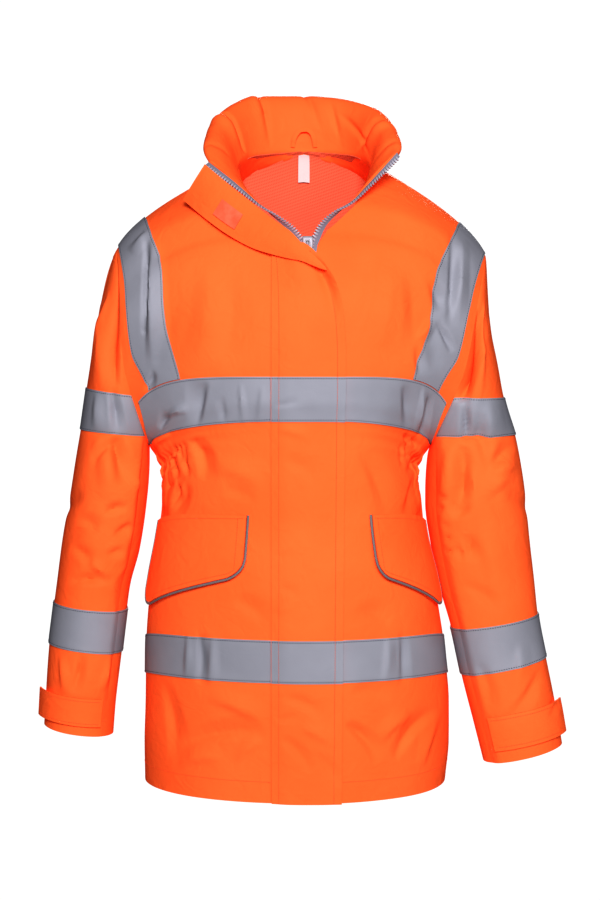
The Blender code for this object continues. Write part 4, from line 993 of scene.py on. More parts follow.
@dataclass(frozen=True)
class Finish:
    """A finish: two tones that wander over the surface, a weave and handling wrinkles."""

    name: str
    tone: tuple[float, float, float]
    second_tone: tuple[float, float, float]
    roughness: float
    metallic: float = 0.0
    sheen: float = 0.0
    specular: float = 0.5
    # Painted glow: an emission that lights the surface from within, so its shade stays bright
    # though no lamp reaches it.
    painted_glow: float = 0.0
    painted_glow_tone: tuple[float, float, float] = (1.0, 0.08, 0.0)
    weave_pitch: float = 0.0006
    weave_depth: float = 0.05
    crumple_size: float = 0.02
    crumple_depth: float = 0.25
    hole_pitch: float = 0.0
    hole_tone: tuple[float, float, float] = (0.0, 0.0, 0.0)
    hole_turn: float = 0.6
    hole_stretch: float = 0.55
    rough_swing: float = 0.05

    def build(self) -> bpy.types.Material:
        """Makes the material.

        Returns:
            A Principled BSDF with its tones, roughness and bump from the shared groups.
        """
        material = bpy.data.materials.new(self.name)
        material.use_nodes = True
        recipe = Recipe(material.node_tree)
        shader = material.node_tree.nodes["Principled BSDF"]
        place = recipe.add("ShaderNodeTexCoord").outputs
        weave = recipe.add("ShaderNodeGroup", {"Vector": place["UV"], "Pitch": self.weave_pitch},
                           node_tree=WEAVE)
        crumple = recipe.add("ShaderNodeGroup", {"Vector": place["Object"],
                                                 "Size": self.crumple_size}, node_tree=CRUMPLE)
        slow = crumple.outputs["Slow"]
        blend = recipe.add("ShaderNodeMapRange", {"Value": slow, "From Min": 0.35,
                                                  "From Max": 0.65})
        colour = recipe.mix(blend.outputs[0], (*self.tone, 1.0), (*self.second_tone, 1.0))
        if self.hole_pitch:
            colour = self.holes(recipe, place["Object"], colour)
        rough = recipe.add("ShaderNodeMapRange", {"Value": slow,
                                                  "To Min": self.roughness - self.rough_swing,
                                                  "To Max": self.roughness + self.rough_swing})
        folds = recipe.add("ShaderNodeBump", {"Height": crumple.outputs["Height"],
                                              "Strength": 1.0,
                                              "Distance": self.crumple_depth * MM})
        threads = recipe.add("ShaderNodeBump", {"Height": weave.outputs["Height"],
                                                "Strength": 1.0,
                                                "Distance": self.weave_depth * MM,
                                                "Normal": folds.outputs[0]})
        sockets = {"Base Color": colour, "Roughness": rough.outputs[0],
                   "Normal": threads.outputs[0], "Metallic": self.metallic,
                   "Sheen Weight": self.sheen, "Specular IOR Level": self.specular}
        # The painted glow: emission that lifts the red in the cloth's shade, as a lamp would.
        if self.painted_glow:
            sockets |= {"Emission Color": (*self.painted_glow_tone, 1.0), "Emission Strength": self.painted_glow}
        for key, value in sockets.items():
            recipe.wire(value, shader.inputs[key])
        return material

    def holes(self, recipe: Recipe, place: bpy.types.NodeSocket,
              yarn: bpy.types.NodeSocket) -> bpy.types.NodeSocket:
        """Rows of knitted holes: where a turned plain weave runs low, the tone is the hole's.

        Args:
            recipe: The material's recipe.
            place: Its Object coordinates.
            yarn: The yarn's colour.

        Returns:
            The colour of yarn and holes.
        """
        parts = recipe.add("ShaderNodeSeparateXYZ", {0: place})
        seen = recipe.add("ShaderNodeCombineXYZ", {"X": parts.outputs[0], "Y": parts.outputs[2]})
        turned = recipe.add("ShaderNodeMapping", {"Vector": seen.outputs[0],
                                                  "Rotation": (0.0, 0.0, self.hole_turn),
                                                  "Scale": (1.0, self.hole_stretch, 1.0)})
        knit = recipe.add("ShaderNodeGroup", {"Vector": turned.outputs[0],
                                              "Pitch": self.hole_pitch}, node_tree=WEAVE)
        mask = recipe.add("ShaderNodeMapRange", {"Value": knit.outputs["Height"],
                                                 "From Min": 0.22, "From Max": 0.42,
                                                 "To Min": 1.0, "To Max": 0.0})
        return recipe.mix(mask.outputs[0], yarn, (*self.hole_tone, 1.0))


class ThreadColour(Enum):
    """Sewing threads."""

    ORANGE = "orange"
    GREY = "grey"
    RED = "red"


@dataclass
class Sewing:
    """All the stitches: a bead for each, along runs laid on the cloth."""

    length: float = 0.66
    width: float = 0.9
    height: float = 0.32
    edge_in: float = 2.2
    runs: dict = field(default_factory=lambda: {colour: [] for colour in ThreadColour})

    def run(self, colour: ThreadColour, patch: Patch, pitch: float = 3.0) -> None:
        """Adds stitches along a line of points.

        Args:
            colour: The thread.
            patch: Points and normals along the line, on the cloth's face.
            pitch: From stitch to stitch.
        """
        points, normals = (p.reshape(-1, 3) for p in patch)
        gone = gone_along(points)
        if gone[-1] < pitch:
            return
        stops = np.arange(pitch / 2, gone[-1], pitch)
        reach = pitch * self.length / 2
        ahead, behind = (read_along(gone, points, stops + off) for off in (reach, -reach))
        self.runs[colour].append((read_along(gone, points, stops), unit(ahead - behind),
                                  unit(read_along(gone, normals, stops)), pitch))

    def edges(self, patch: Patch) -> None:
        """Stitches a tape's two long edges, a little way in from each."""
        points, normals = patch
        for edge, beside in ((0, 1), (-1, -2)):
            aside = points[beside] - points[edge]
            line = points[edge] + aside * self.edge_in / np.linalg.norm(aside, axis=-1)[:, None]
            self.run(ThreadColour.GREY, (line, normals[edge]))

    def bead(self) -> tuple[Array, list]:
        """One stitch: two pointed ends and two four-sided rings, as shares of its size."""
        ring = [(1, 0), (0, 1), (-1, 0), (0, -0.4)]
        points = [(-0.5, 0, 0)] + [(x, y / 2, z) for x in (-0.28, 0.28) for y, z in ring]
        points.append((0.5, 0, 0))
        faces = []
        for i in range(4):
            n = (i + 1) % 4
            faces += [[0, 1 + n, 1 + i], [1 + i, 1 + n, 5 + n, 5 + i], [9, 5 + i, 5 + n]]
        return np.array(points), faces

    def build(self, finishes: dict[ThreadColour, bpy.types.Material]) -> None:
        """Joins each thread's stitches in one mesh, each bead set by its run's directions."""
        points, faces = self.bead()
        for colour, runs in self.runs.items():
            beads = np.concatenate([
                set_out(points * np.array([pitch * self.length, self.width, self.height]),
                        centres, along, np.cross(normals, along), normals)
                for centres, along, normals, pitch in runs])
            item = load_mesh(f"stitches_{colour.value}", beads.reshape(-1, 3),
                             repeat_faces(faces, len(points), len(beads)), finishes[colour],
                             sharp=180.0)
            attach(item, "jacket")
            LOG.info("%s, %d stitches", item.name, len(beads))


@dataclass
class Torso:
    """Both fronts and the back, with the hem and waist sewing."""

    cloth: bpy.types.Material
    sewing: Sewing
    hem_depth: float = 23.0
    last_hem_column: float = 0.995
    casing_levels: tuple[float, float] = (0.84, 0.93)
    casing_columns: tuple[float, float] = (0.68, 0.70)
    casing_pitch: float = 2.2
    front_cuts: dict = field(default_factory=lambda: {
        Side.RIGHT: Cut(0.30, 0.74, 0.177, held="hung"),
        Side.LEFT: Cut(0.28, 0.74, 0.158, held="hung")})
    back_cut: Cut = Cut(0.60, 0.80, 0.361, held="hung")

    def build(self, panels: Panels) -> None:
        """Builds the three pieces.

        Args:
            panels: The four halves of the torso.
        """
        for side in Side:
            patch = panels[side, Face.FRONT].points(*grid(COLUMNS, LEVELS))
            item = wall(f"front_{side.value}_cloth", [patch], CLOTH, self.cloth)
            fit(item, (f"front_{side.value}",), self.front_cuts[side])
        patches = [panels[side, Face.BACK].points(*grid(COLUMNS, LEVELS)) for side in Side]
        weld_middle(patches, LEVELS)
        fit(wall("back_cloth", patches, CLOTH, self.cloth), ("back",),
            self.back_cut)
        for panel in panels.values():
            self.sew(panel)

    def sew(self, panel: Panel) -> None:
        """Stitches the hem and the end of the waist elastic's casing."""
        hem_level = self.hem_depth / (UNDERARM_Z - HEM_Z)
        columns = COLUMNS[COLUMNS < self.last_hem_column]
        line = panel.points(columns, np.full_like(columns, hem_level))
        self.sewing.run(ThreadColour.ORANGE, line)
        levels = np.linspace(*self.casing_levels, 20)
        for column in self.casing_columns:
            line = panel.points(np.full_like(levels, column), levels)
            self.sewing.run(ThreadColour.ORANGE, line, self.casing_pitch)


def weld_middle(patches: list[Patch], levels: Array) -> None:
    """The two halves of the back share the points of its centre line."""
    shared = levels <= 4.0001
    for k in (0, 1):
        middle = (patches[0][k][shared, 0] + patches[1][k][shared, 0]) / 2
        for patch in patches:
            patch[k][shared, 0] = middle


@dataclass
class TapeRoll:
    """Reflective tape, laid on cloth a length at a time and stitched along both edges."""

    finish: bpy.types.Material
    sewing: Sewing
    width: float = 50.0

    def lay(self, name: str, patches: list[Patch], length: float,
            rests_on: tuple[str, ...] = (), upright: bool = False) -> None:
        """Lays one length of tape.

        Args:
            name: The solid that it stands for.
            patches: Its outer points and normals.
            length: Its flat length in metres.
            rests_on: The pieces that it lies on.
            upright: Whether it runs up the grid's levels, not along a level.
        """
        item = wall(f"{name}_tape", patches, TAPE, self.finish)
        fit(item, (name,), Cut(self.width * MM, length, rests_on=rests_on))
        for patch in patches:
            self.sewing.edges(tuple(a.swapaxes(0, 1) for a in patch) if upright else patch)


@dataclass
class TapeBands:
    """The hip and chest bands and the brace tapes of the torso."""

    tape: TapeRoll
    brace_start: float = 0.012
    front_lengths: dict = field(default_factory=lambda: {
        ("hip", Side.RIGHT): 0.222, ("hip", Side.LEFT): 0.212,
        ("chest", Side.RIGHT): 0.207, ("chest", Side.LEFT): 0.184})
    back_length: float = 0.448
    brace_lengths: dict = field(default_factory=lambda: {Face.FRONT: 0.238, Face.BACK: 0.290})

    def build(self, panels: Panels) -> None:
        """Lays the bands on the panels' own points.

        Args:
            panels: The four halves of the torso.
        """
        for name, ends, last in (("hip", HIP_BAND, 1.0), ("chest", CHEST_BAND, CHEST_BAND_END)):
            levels = between(LEVELS, *ends)
            for side in Side:
                self.front_band(panels[side, Face.FRONT], name, levels, last)
            columns = between(COLUMNS, 0.0, last)
            patches = [panels[side, Face.BACK].points(*grid(columns, levels),
                                                      out=LAY_GAP + TAPE) for side in Side]
            weld_middle(patches, levels)
            self.tape.lay(f"{name}_band_back", patches, self.back_length, ("back_cloth",))
        for panel in panels.values():
            self.brace(panel)

    def front_band(self, panel: Panel, name: str, levels: Array, last: float) -> None:
        """One front's stretch of a band, from the storm flap to the side."""
        side = panel.side
        first = panel.column_at(BAND_START_X[side], levels)[:, None]
        columns = COLUMNS[(COLUMNS > first.max() + 0.01) & (COLUMNS <= last + SAME)]
        column, level = grid(np.concatenate([[0.0], columns]), levels)
        column[:, :1] = first
        patch = panel.points(column, level, out=LAY_GAP + TAPE)
        self.tape.lay(f"{name}_band_front_{side.value}", [patch], self.front_lengths[name, side],
                      (f"front_{side.value}_cloth",))

    def brace(self, panel: Panel) -> None:
        """A brace tape from the chest band to the shoulder seam."""
        levels = between(LEVELS, CHEST_BAND[1], LEVELS[-1])
        levels[0] += self.brace_start
        patch = panel.points(*grid(between(COLUMNS, *BRACE_COLUMNS), levels), out=LAY_GAP + TAPE)
        self.tape.lay(f"brace_{panel.face.value}_{panel.side.value}", [patch],
                      self.brace_lengths[panel.face], upright=True)


# Sleeves by row, 0 at the cuff and 1 at the underarm.
SLEEVE_ROWS = {
    Side.RIGHT: table(
        "row    outer_x  outer_z  inner_x  inner_z  half_y  mid_y",
        (0.00,  -309,   -671,   -224,   -684,   45,   -8),
        (0.10,  -307,   -637,   -221,   -648,   46,   -8),
        (0.26,  -303,   -578,   -214,   -590,   48,   -6),
        (0.39,  -297,   -530,   -208,   -540,   50,   -3),
        (0.49,  -292,   -492,   -203,   -502,   53,    0),
        (0.61,  -286,   -444,   -191,   -456,   58,    3),
        (0.74,  -277,   -392,   -183,   -405,   63,    3),
        (0.88,  -268,   -342,   -178,   -353,   65,    1),
        (1.00,  -262,   -307,   -178.4, -328.5, 66,    0),
    ),
    Side.LEFT: table(
        "row    outer_x  outer_z  inner_x  inner_z  half_y  mid_y",
        (0.00,   329,   -690,   233,   -712,   42,   -34),
        (0.10,   322,   -648,   222,   -669,   44,   -32),
        (0.26,   309,   -584,   206,   -606,   46,   -26),
        (0.39,   300,   -532,   194,   -550,   48,   -18),
        (0.49,   296,   -488,   181,   -504,   51,   -10),
        (0.61,   291,   -440,   170,   -452,   56,    -4),
        (0.74,   286,   -388,   163,   -398,   62,    0),
        (0.88,   279,   -342,   163,   -350,   65,    0),
        (1.00,   273,   -314,   169.4, -328.5, 66,    0),
    ),
}
CAP_ROWS = {
    Side.RIGHT: table(
        "level  outer_x  outer_z  sweep",
        (1.50,  -262,    -307,   145),
        (2.15,  -254,    -256,   118),
        (2.50,  -248,    -222,   108),
        (3.00,  -240,    -178,    98),
        (3.50,  -234,    -143,    94),
        (4.00,  -228,    -117,    90),
        (4.50,  -222,     -99,    90),
        (5.00,  -215.3,   -85,    90),
    ),
    Side.LEFT: table(
        "level  outer_x  outer_z  sweep",
        (1.50,   273,    -314,   145),
        (2.15,   259,    -268,   118),
        (2.50,   251,    -230,   108),
        (3.00,   243,    -190,    98),
        (3.50,   239,    -156,    94),
        (4.00,   237,    -130,    90),
        (4.50,   236,    -111,    90),
        (5.00,   235.3,   -95,    90),
    ),
}
TUBE_SPAN = 372.0
CAP_SPAN = 63.0
ROUND_STEP = 1.05
LOWER_SLEEVE_BAND = {Side.RIGHT: (0.282, 0.418), Side.LEFT: (0.26, 0.39)}
UPPER_SLEEVE_BAND = (1.0, 1.65)
SLEEVE_FOLDS = {
    Side.RIGHT: table(
        "turn  up    to_turn  to_up  half_width  depth",
        (60,   286,  -30,     248,   8.0,   -3.0),
        (100,  258,   10,     220,   8.0,   -2.5),
        (110,  352,   60,     302,   9.0,   -3.0),
        (-60,  302, -120,     258,   9.0,   -3.0),
        (70,   500,   25,     420,  10.0,    2.5),
    ),
    Side.LEFT: table(
        "turn  up    to_turn  to_up  half_width  depth",
        (88,   400,   72,     275,   9.0,   -6.0),
        (60,   286,  -20,     248,   8.0,   -3.0),
        (110,  340,   50,     231,   9.0,   -3.0),
        (-60,  302, -120,     258,   9.0,   -3.0),
        (104,  500,   96,     395,   8.0,    4.0),
    ),
}
UNDER_SWEEP = 28.0
UNDER_GAP = 0.9
PARTS = np.linspace(-1, 1, 85)
UNDER_PARTS = np.linspace(-1, 1, 21)

# A sleeve's front seam stands up as a crest, which wanders round the sleeve.
SEAM_CREST = {
    Side.RIGHT: table(
        "row   part   height",
        (0.00, 0.90,  1.0),
        (0.42, 0.93,  3.0),
        (0.52, 0.86,  5.0),
        (0.56, 0.96,  4.0),
        (0.61, 0.90,  5.5),
        (0.68, 0.97,  3.0),
        (0.77, 0.92,  5.5),
        (0.86, 0.97,  3.0),
        (0.95, 0.95,  2.0),
    ),
    Side.LEFT: table(
        "row   part   height",
        (0.00, 0.90,  2.0),
        (0.40, 0.92,  4.0),
        (0.55, 0.90,  5.5),
        (0.66, 0.93,  4.5),
        (0.75, 0.90,  6.0),
        (0.90, 0.90,  5.0),
        (1.00, 0.92,  2.0),
    ),
}
SLEEVE_CREASES = {
    Side.RIGHT: crease_rows(
        (-213, -258, -211, -96, 1, 20.0, -11.0, 0.40, 0.40),
        (-231, -149, -240, -260, 1, 12.0, 2.0, 0.60, 0.50),
        (-217, -255, -211, -311, 0, 10.0, -4.6, 0.60, 0.50),
        (-235, -260, -238, -308, 0, 9.0, 2.0, 0.60, 0.50),
        (-218, -313, -203, -378, 2, 15.0, -7.0, 0.60, 0.35),
        (-236, -313, -218, -396, 3, 18.0, 3.4, 0.70, 0.50),
        (-242, -347, -219, -318, 1, 9.0, -3.6, 0.50, 0.60),
        (-200, -361, -177, -393, 1, 9.0, 4.0, 0.50, 0.60),
        (-227, -407, -201, -399, 1, 9.0, -3.8),
        (-198, -419, -218, -434, 1, 9.0, -3.6, 0.50, 0.40),
        (-207, -448, -228, -458, 1, 9.0, -3.2, 0.50, 0.40),
        (-271, -449, -242, -466, 1, 11.0, -3.2),
        (-247, -465, -223, -487, 1, 10.0, 3.2),
        (-274, -492, -219, -489, 3, 10.0, -3.8),
        (-263, -414, -235, -424, 2, 12.0, -2.4, 0.60, 0.50),
        (-257, -576, -269, -627, 2, 9.2, -3.7, 0.50, 0.40),
        (-284, -581, -279, -627, 1, 9.2, 2.8),
        (-223, -576, -236, -625, 2, 11.0, 2.8),
        (-219, -596, -219, -679, 1, 11.0, -2.5, 0.50, 0.40),
    ),
    Side.LEFT: crease_rows(
        (202, -275, 226, -159, 1, 24.0, -12.0, 0.50, 0.25),
        (205, -272, 208, -324, 0, 8.0, -4.6, 0.60, 0.50),
        (232, -267, 234, -325, 1, 20.0, 3.2, 0.60, 0.50),
        (201, -323, 197, -412, 3, 13.0, -9.0, 0.70, 0.50),
        (189, -325, 184, -390, 1, 9.0, 2.6, 0.70, 0.40),
        (174, -388, 191, -389, 1, 4.0, -2.8, 0.60, 0.50),
        (190, -389, 196, -410, 1, 4.0, -3.2, 0.60, 0.50),
        (175, -406, 186, -399, 0, 4.0, -2.6, 0.60, 0.50),
        (183, -440, 193, -435, 0, 4.0, -2.4, 0.60, 0.50),
        (184, -455, 197, -453, 0, 4.0, -2.4, 0.60, 0.50),
        (180, -419, 191, -423, 0, 4.0, -2.0, 0.60, 0.50),
        (196, -412, 214, -400, 1, 7.0, -3.2, 0.50, 0.40),
        (195, -445, 205, -465, 1, 6.0, -2.6),
        (207, -431, 216, -465, 1, 11.0, -4.0),
        (241, -354, 267, -323, 2, 12.0, -4.4, 0.50, 0.40),
        (237, -358, 273, -349, 1, 10.0, 3.2),
        (229, -390, 268, -354, 3, 18.0, 3.0),
        (222, -414, 249, -511, 3, 20.0, 2.0, 0.60, 0.50),
        (205, -492, 249, -525, 3, 12.0, -2.6),
        (297, -596, 255, -654, 4, 12.9, -3.1, 0.50, 0.40),
        (225, -586, 239, -650, 2, 11.0, -2.5, 0.50, 0.40),
        (273, -561, 266, -623, 2, 14.8, 2.2),
        (317, -635, 305, -652, 1, 7.3, -2.8, 0.50, 0.40),
    ),
}
# Creases of a sleeve's hidden side, mirrored from the right to the left one.
SLEEVE_BACK_CREASES = crease_rows(
    (-205, -150, -214, -270, 5, 13.6, -6.2),
    (-236, -160, -240, -262, 3, 17.0, 3.1),
    (-186, -372, -240, -408, 5, 11.9, -5.6, 0.50, 0.35),
    (-192, -412, -252, -428, 4, 13.6, 4.0, 0.50, 0.40),
    (-200, -440, -262, -476, 4, 11.9, -4.3, 0.50, 0.40),
    (-274, -398, -232, -380, 3, 11.9, -3.4, 0.50, 0.40),
    (-222, -584, -246, -640, 3, 10.2, -3.1, 0.50, 0.40),
    (-286, -600, -262, -640, 3, 10.2, 2.8),
)


def sleeve_rows(side: Side) -> Array:
    """A sleeve's fine rows, with its bands' edges among them."""
    low, high = LOWER_SLEEVE_BAND[side]
    return steps((0.0, low, high, 1.0, UPPER_SLEEVE_BAND[1], 4.5), (30, 15, 66, 16, 60))


def near_armhole(row: Array) -> Array:
    """How far a sleeve row has turned from the tube's section to the armhole's."""
    return ramp((row - 0.78) / 0.22)


@dataclass
class Sleeve:
    """One sleeve by row and part: part 0 is its outer line, 1 its front seam, -1 its back."""

    side: Side

    def tube(self, turn: Array, row: Array) -> Array:
        """Below the armhole: an ellipse round the sleeve, turned to lie square to it."""
        outer_x, outer_z, inner_x, inner_z, half, middle = (
            look_up(SLEEVE_ROWS[self.side], "row", column, row)
            for column in ("outer_x", "outer_z", "inner_x", "inner_z", "half_y", "mid_y"))
        share = (1 - np.cos(turn)) / 2
        x = outer_x + (inner_x - outer_x) * share
        z = outer_z + (inner_z - outer_z) * share
        return np.stack([x, middle - half * np.sin(turn), z], axis=-1)

    def cap_point(self, part: Array, row: Array) -> Array:
        """Over the armhole: a row runs from its front seam over the outer line to the back."""
        level = row + 0.5
        cap = CAP_ROWS[self.side]
        outer_x = look_up(cap, "level", "outer_x", level)
        outer_z = look_up(cap, "level", "outer_z", level)
        sweep = np.radians(look_up(cap, "level", "sweep", level))
        angle = np.interp(level, ARMHOLE["level"], ARMHOLE["angle"])
        end = armhole_point(self.side, angle * np.where(part < 0, -1, 1), gap=SEAM_GAP)
        turn = np.abs(part) * sweep
        share = (1 - np.cos(turn)) / (1 - np.cos(sweep))
        x = outer_x + (end[..., 0] - outer_x) * share
        z = outer_z + (end[..., 2] - outer_z) * share
        return np.stack([x, end[..., 1] * np.sin(turn) / np.sin(sweep), z], axis=-1)

    def base(self, part: Array, row: Array) -> Array:
        """The upper piece without creases: the tube, blended into the cap."""
        tube = self.tube(part * np.radians(SLEEVE_SEAM), row)
        cap = self.cap_point(part, np.maximum(row, 1.0))
        return tube + (cap - tube) * near_armhole(row)[..., None]

    def lift(self, part: Array, row: Array, base: Array) -> Array:
        """The folds of the solid, and the finer creases of the side that faces front or back."""
        rows = SLEEVE_FOLDS[self.side]
        up = TUBE_SPAN * np.minimum(row, 1) + CAP_SPAN * np.maximum(row - 1, 0)
        folds = fold_lift(zip(rows["turn"] * ROUND_STEP, rows["up"]),
                          zip(rows["to_turn"] * ROUND_STEP, rows["to_up"]),
                          rows["half_width"], rows["depth"],
                          part * SLEEVE_SEAM * ROUND_STEP, up)
        folds = folds * np.clip((1 - np.abs(part)) * 8, 0, 1)
        x, y, z = base[..., 0], base[..., 1], base[..., 2]
        front = ramp(part / 0.12)
        behind = ramp(-part / 0.12)
        fine = SLEEVE_CREASES[self.side].lift(x, z) * front
        fine = fine + SLEEVE_BACK_CREASES.lift(-self.side.sign * x, z) * behind
        edge = np.clip((1 - np.abs(part)) * 14, 0, 1) * np.clip((4.45 - row) * 3, 0, 1)
        return folds + self.crest(part, row) + (fine + unevenness(x, y, z)) * edge

    def crest(self, part: Array, row: Array) -> Array:
        """The crest beside the front seam: straight flanks, a short one towards the seam."""
        rows = SEAM_CREST[self.side]
        place = np.interp(row, rows["row"], rows["part"])
        height = np.interp(row, rows["row"], rows["height"]) * np.clip((1.05 - row) * 8, 0, 1)
        flank = np.where(part > place, 1.0 - place + 0.01, 0.24)
        return height * np.clip(1 - np.abs(part - place) / flank, 0, 1)

    def facing(self, part: Array, row: Array, base: object) -> Array:
        """The outward normal of a sleeve surface, from small steps round and up."""
        step = 2e-3
        ahead, behind = np.clip(part + step, -1, 1), np.clip(part - step, -1, 1)
        above, below = np.clip(row + step, 0, 4.5), np.clip(row - step, 0, 4.49)
        around = base(ahead, row) - base(behind, row)
        up = base(part, above) - base(part, below)
        return unit(np.cross(up, around) * self.side.sign)

    def seam_normal(self, normal: Array, part: Array, row: Array) -> Array:
        """Both pieces end along a seam with the same normal, from the sleeve's middle."""
        turn = np.radians(SLEEVE_SEAM * np.sign(part))
        middle = (self.tube(0 * turn, row) + self.tube(0 * turn + math.pi, row)) / 2
        spoke = unit(self.tube(turn, row) - middle)
        at_seam = (np.abs(part) > 0.999) & (row < 1)
        return np.where(at_seam[..., None], spoke, normal)

    def upper(self, part: Array, row: Array, out: Array | float = 0.0) -> Patch:
        """Points and normals of the upper piece, moved out by a distance."""
        normal = self.seam_normal(self.facing(part, row, self.base), part, row)
        angle = np.interp(row + 0.5, ARMHOLE["level"], ARMHOLE["angle"]) * np.sign(part)
        at_loop = (np.abs(part) > 0.999) & (row >= 1) | (row > 4.4)
        normal = np.where(at_loop[..., None], armhole_normal(angle), normal)
        base = self.base(part, row)
        return base + normal * (self.lift(part, row, base) + out)[..., None], normal

    def under_base(self, part: Array, row: Array) -> Array:
        """The under piece closes the tube between the two seams."""
        seam = np.radians(SLEEVE_SEAM)
        inset = SEAM_GAP / 60.0
        tube = self.tube(math.pi + part * (math.pi - seam - inset), row)
        top = armhole_point(self.side, 180 + part * (UNDER_SWEEP - UNDER_GAP), gap=SEAM_GAP)
        return tube + (top - tube) * near_armhole(row)[..., None]

    def under(self, part: Array, row: Array, out: Array | float = 0.0) -> Patch:
        """Points and normals of the under piece, moved out by a distance."""
        normal = self.seam_normal(self.facing(part, row, self.under_base), -part, row)
        return self.under_base(part, row) + normal * np.asarray(out), normal


@dataclass
class Sleeves:
    """Both sleeves with their bands and cuff tabs."""

    cloth: bpy.types.Material
    tape: TapeRoll
    sewing: Sewing
    upper_cuts: dict = field(default_factory=lambda: {
        Side.RIGHT: Cut(0.33, 0.59, 0.127, held="hung"),
        Side.LEFT: Cut(0.35, 0.61, 0.143, held="hung")})
    under_cut: Cut = Cut(0.075, 0.38, 0.0245, held="hung")
    band_lengths: dict = field(default_factory=lambda: {"lower": 0.275, "under": 0.068,
                                                        "upper": 0.240})
    tab_cut: Cut = Cut(0.037, 0.115)
    tab_rows: tuple[float, float] = (0.035, 0.132)
    tab_parts: tuple[float, float] = (0.90, 0.06)
    tab_lift: tuple[float, float] = (0.4, 5.0)
    tab_thick: float = 2.0
    tab_clear: float = 0.8
    tab_flat: float = 0.6
    tab_inset: float = 0.010
    hem_row: float = 0.052
    seam_stitch: float = 0.955

    def build(self) -> None:
        """Builds both sleeves."""
        for side in Side:
            sleeve = Sleeve(side)
            self.cloth_pieces(sleeve)
            self.bands(sleeve)
            self.tab(sleeve)

    def cloth_pieces(self, sleeve: Sleeve) -> None:
        """The upper and the under piece, with the hem and seam stitches."""
        side, rows = sleeve.side.value, sleeve_rows(sleeve.side)
        patch = sleeve.upper(*grid(PARTS, rows))
        fit(wall(f"sleeve_upper_{side}_cloth", [patch], CLOTH, self.cloth),
            (f"sleeve_upper_{side}",), self.upper_cuts[sleeve.side])
        patch = sleeve.under(*grid(UNDER_PARTS, rows[rows <= 1]))
        fit(wall(f"sleeve_under_{side}_cloth", [patch], CLOTH, self.cloth),
            (f"sleeve_under_{side}",), self.under_cut)
        hem = np.full_like(PARTS, self.hem_row)
        self.sewing.run(ThreadColour.ORANGE, sleeve.upper(PARTS, hem))
        low = rows[(rows < 0.985) & (rows > 0.0)]
        for part in (self.seam_stitch, -self.seam_stitch):
            self.sewing.run(ThreadColour.ORANGE, sleeve.upper(np.full_like(low, part), low))

    def bands(self, sleeve: Sleeve) -> None:
        """The lower band runs round both pieces, and the upper one from seam to seam."""
        rows = sleeve_rows(sleeve.side)
        lower = between(rows, *LOWER_SLEEVE_BAND[sleeve.side])
        for name, maker, parts, levels in (
                ("lower", sleeve.upper, PARTS, lower), ("under", sleeve.under, UNDER_PARTS, lower),
                ("upper", sleeve.upper, PARTS, between(rows, *UPPER_SLEEVE_BAND))):
            patch = maker(*grid(parts, levels), out=LAY_GAP + TAPE)
            self.tape.lay(f"sleeve_band_{name}_{sleeve.side.value}", [patch],
                          self.band_lengths[name])

    def tab(self, sleeve: Sleeve) -> None:
        """A cuff tab, sewn near the front seam, whose free end stands off the sleeve."""
        side = sleeve.side.value
        start, end = self.tab_parts
        share, row = grid(np.linspace(0, 1, 40), np.linspace(*self.tab_rows, 14))

        def at(share: Array, row: Array) -> Patch:
            """Points of the tab's outer face."""
            low, high = self.tab_lift
            out = low + (high - low) * share ** 3 + self.tab_clear + self.tab_thick
            part = start + (end - start) * share
            point, normal = sleeve.upper(part, row, out=out)
            lift = sleeve.lift(part, row, sleeve.base(part, row))
            return point - normal * (self.tab_flat * lift * share)[..., None], normal

        item = wall(f"cuff_tab_{side}_cloth", [at(share, row)], self.tab_thick, self.cloth)
        fit(item, (f"cuff_tab_{side}",), self.tab_cut)
        low, high = self.tab_rows[0] + self.tab_inset, self.tab_rows[1] - self.tab_inset
        along = np.linspace(0.03, 0.97, 40)
        for row_at in (low, high):
            self.sewing.run(ThreadColour.ORANGE, at(along, np.full_like(along, row_at)))
        across = np.linspace(low, high, 16)
        self.sewing.run(ThreadColour.ORANGE, at(np.full_like(across, 0.965), across))


FLAP_SEAM_X = -25.0
FLAP_EDGE = table(
    "level  edge_x  puff  dip",
    (0.00,   56,    0.0,  0.00),
    (1.00,   59,    0.0,  0.00),
    (2.20,   60.5,  0.0,  0.00),
    (2.42,   58.5,  0.2,  0.10),
    (2.58,   54.6,  0.5,  0.45),
    (2.66,   50,    0.8,  0.80),
    (2.72,   44.5,  1.0,  1.00),
    (2.78,   37.5,  1.0,  0.75),
    (2.84,   30,    1.0,  0.15),
    (2.90,   22,    1.0,  0.00),
    (2.96,   12,    1.0,  0.00),
)
FLAP_STAND = table(
    "share  plain  puffed  dip",
    (0.00,   0.4,   0.4,  0.0),
    (0.25,   3.4,   4.0,  0.0),
    (0.50,   3.8,  11.0,  3.0),
    (0.75,   3.4,  15.0,  8.5),
    (0.87,   3.0,  15.0, 12.5),
    (0.96,   3.2,  15.0,  2.5),
    (1.00,   3.6,  15.0,  0.5),
)
FLAP_CREASES = crease_rows(
    (-20, -277, 8, -270, 1, 7.1, -1.2, 0.50, 0.30),
    (-18, -314, 22, -328, 3, 12.4, 1.4, 0.50, 0.40),
    (-13, -349, 29, -368, 3, 12.4, -1.6, 0.50, 0.40),
    (-20, -454, 3, -450, 1, 7.1, -1.1, 0.50, 0.30),
    (-18, -487, 8, -497, 1, 8.8, -1.4, 0.50, 0.30),
    (-20, -516, 3, -509, 1, 7.1, 1.1, 0.50, 0.30),
    (-11, -615, 36, -638, 3, 10.7, -2.3, 0.50, 0.40),
    (-20, -645, 8, -638, 1, 7.1, -1.6, 0.50, 0.30),
    (-14, -662, 22, -705, 3, 10.7, -2.5, 0.50, 0.40),
    (8, -650, 52, -676, 3, 12.4, 2.0, 0.50, 0.40),
    (27, -681, 52, -722, 2, 10.7, -2.0, 0.50, 0.40),
)
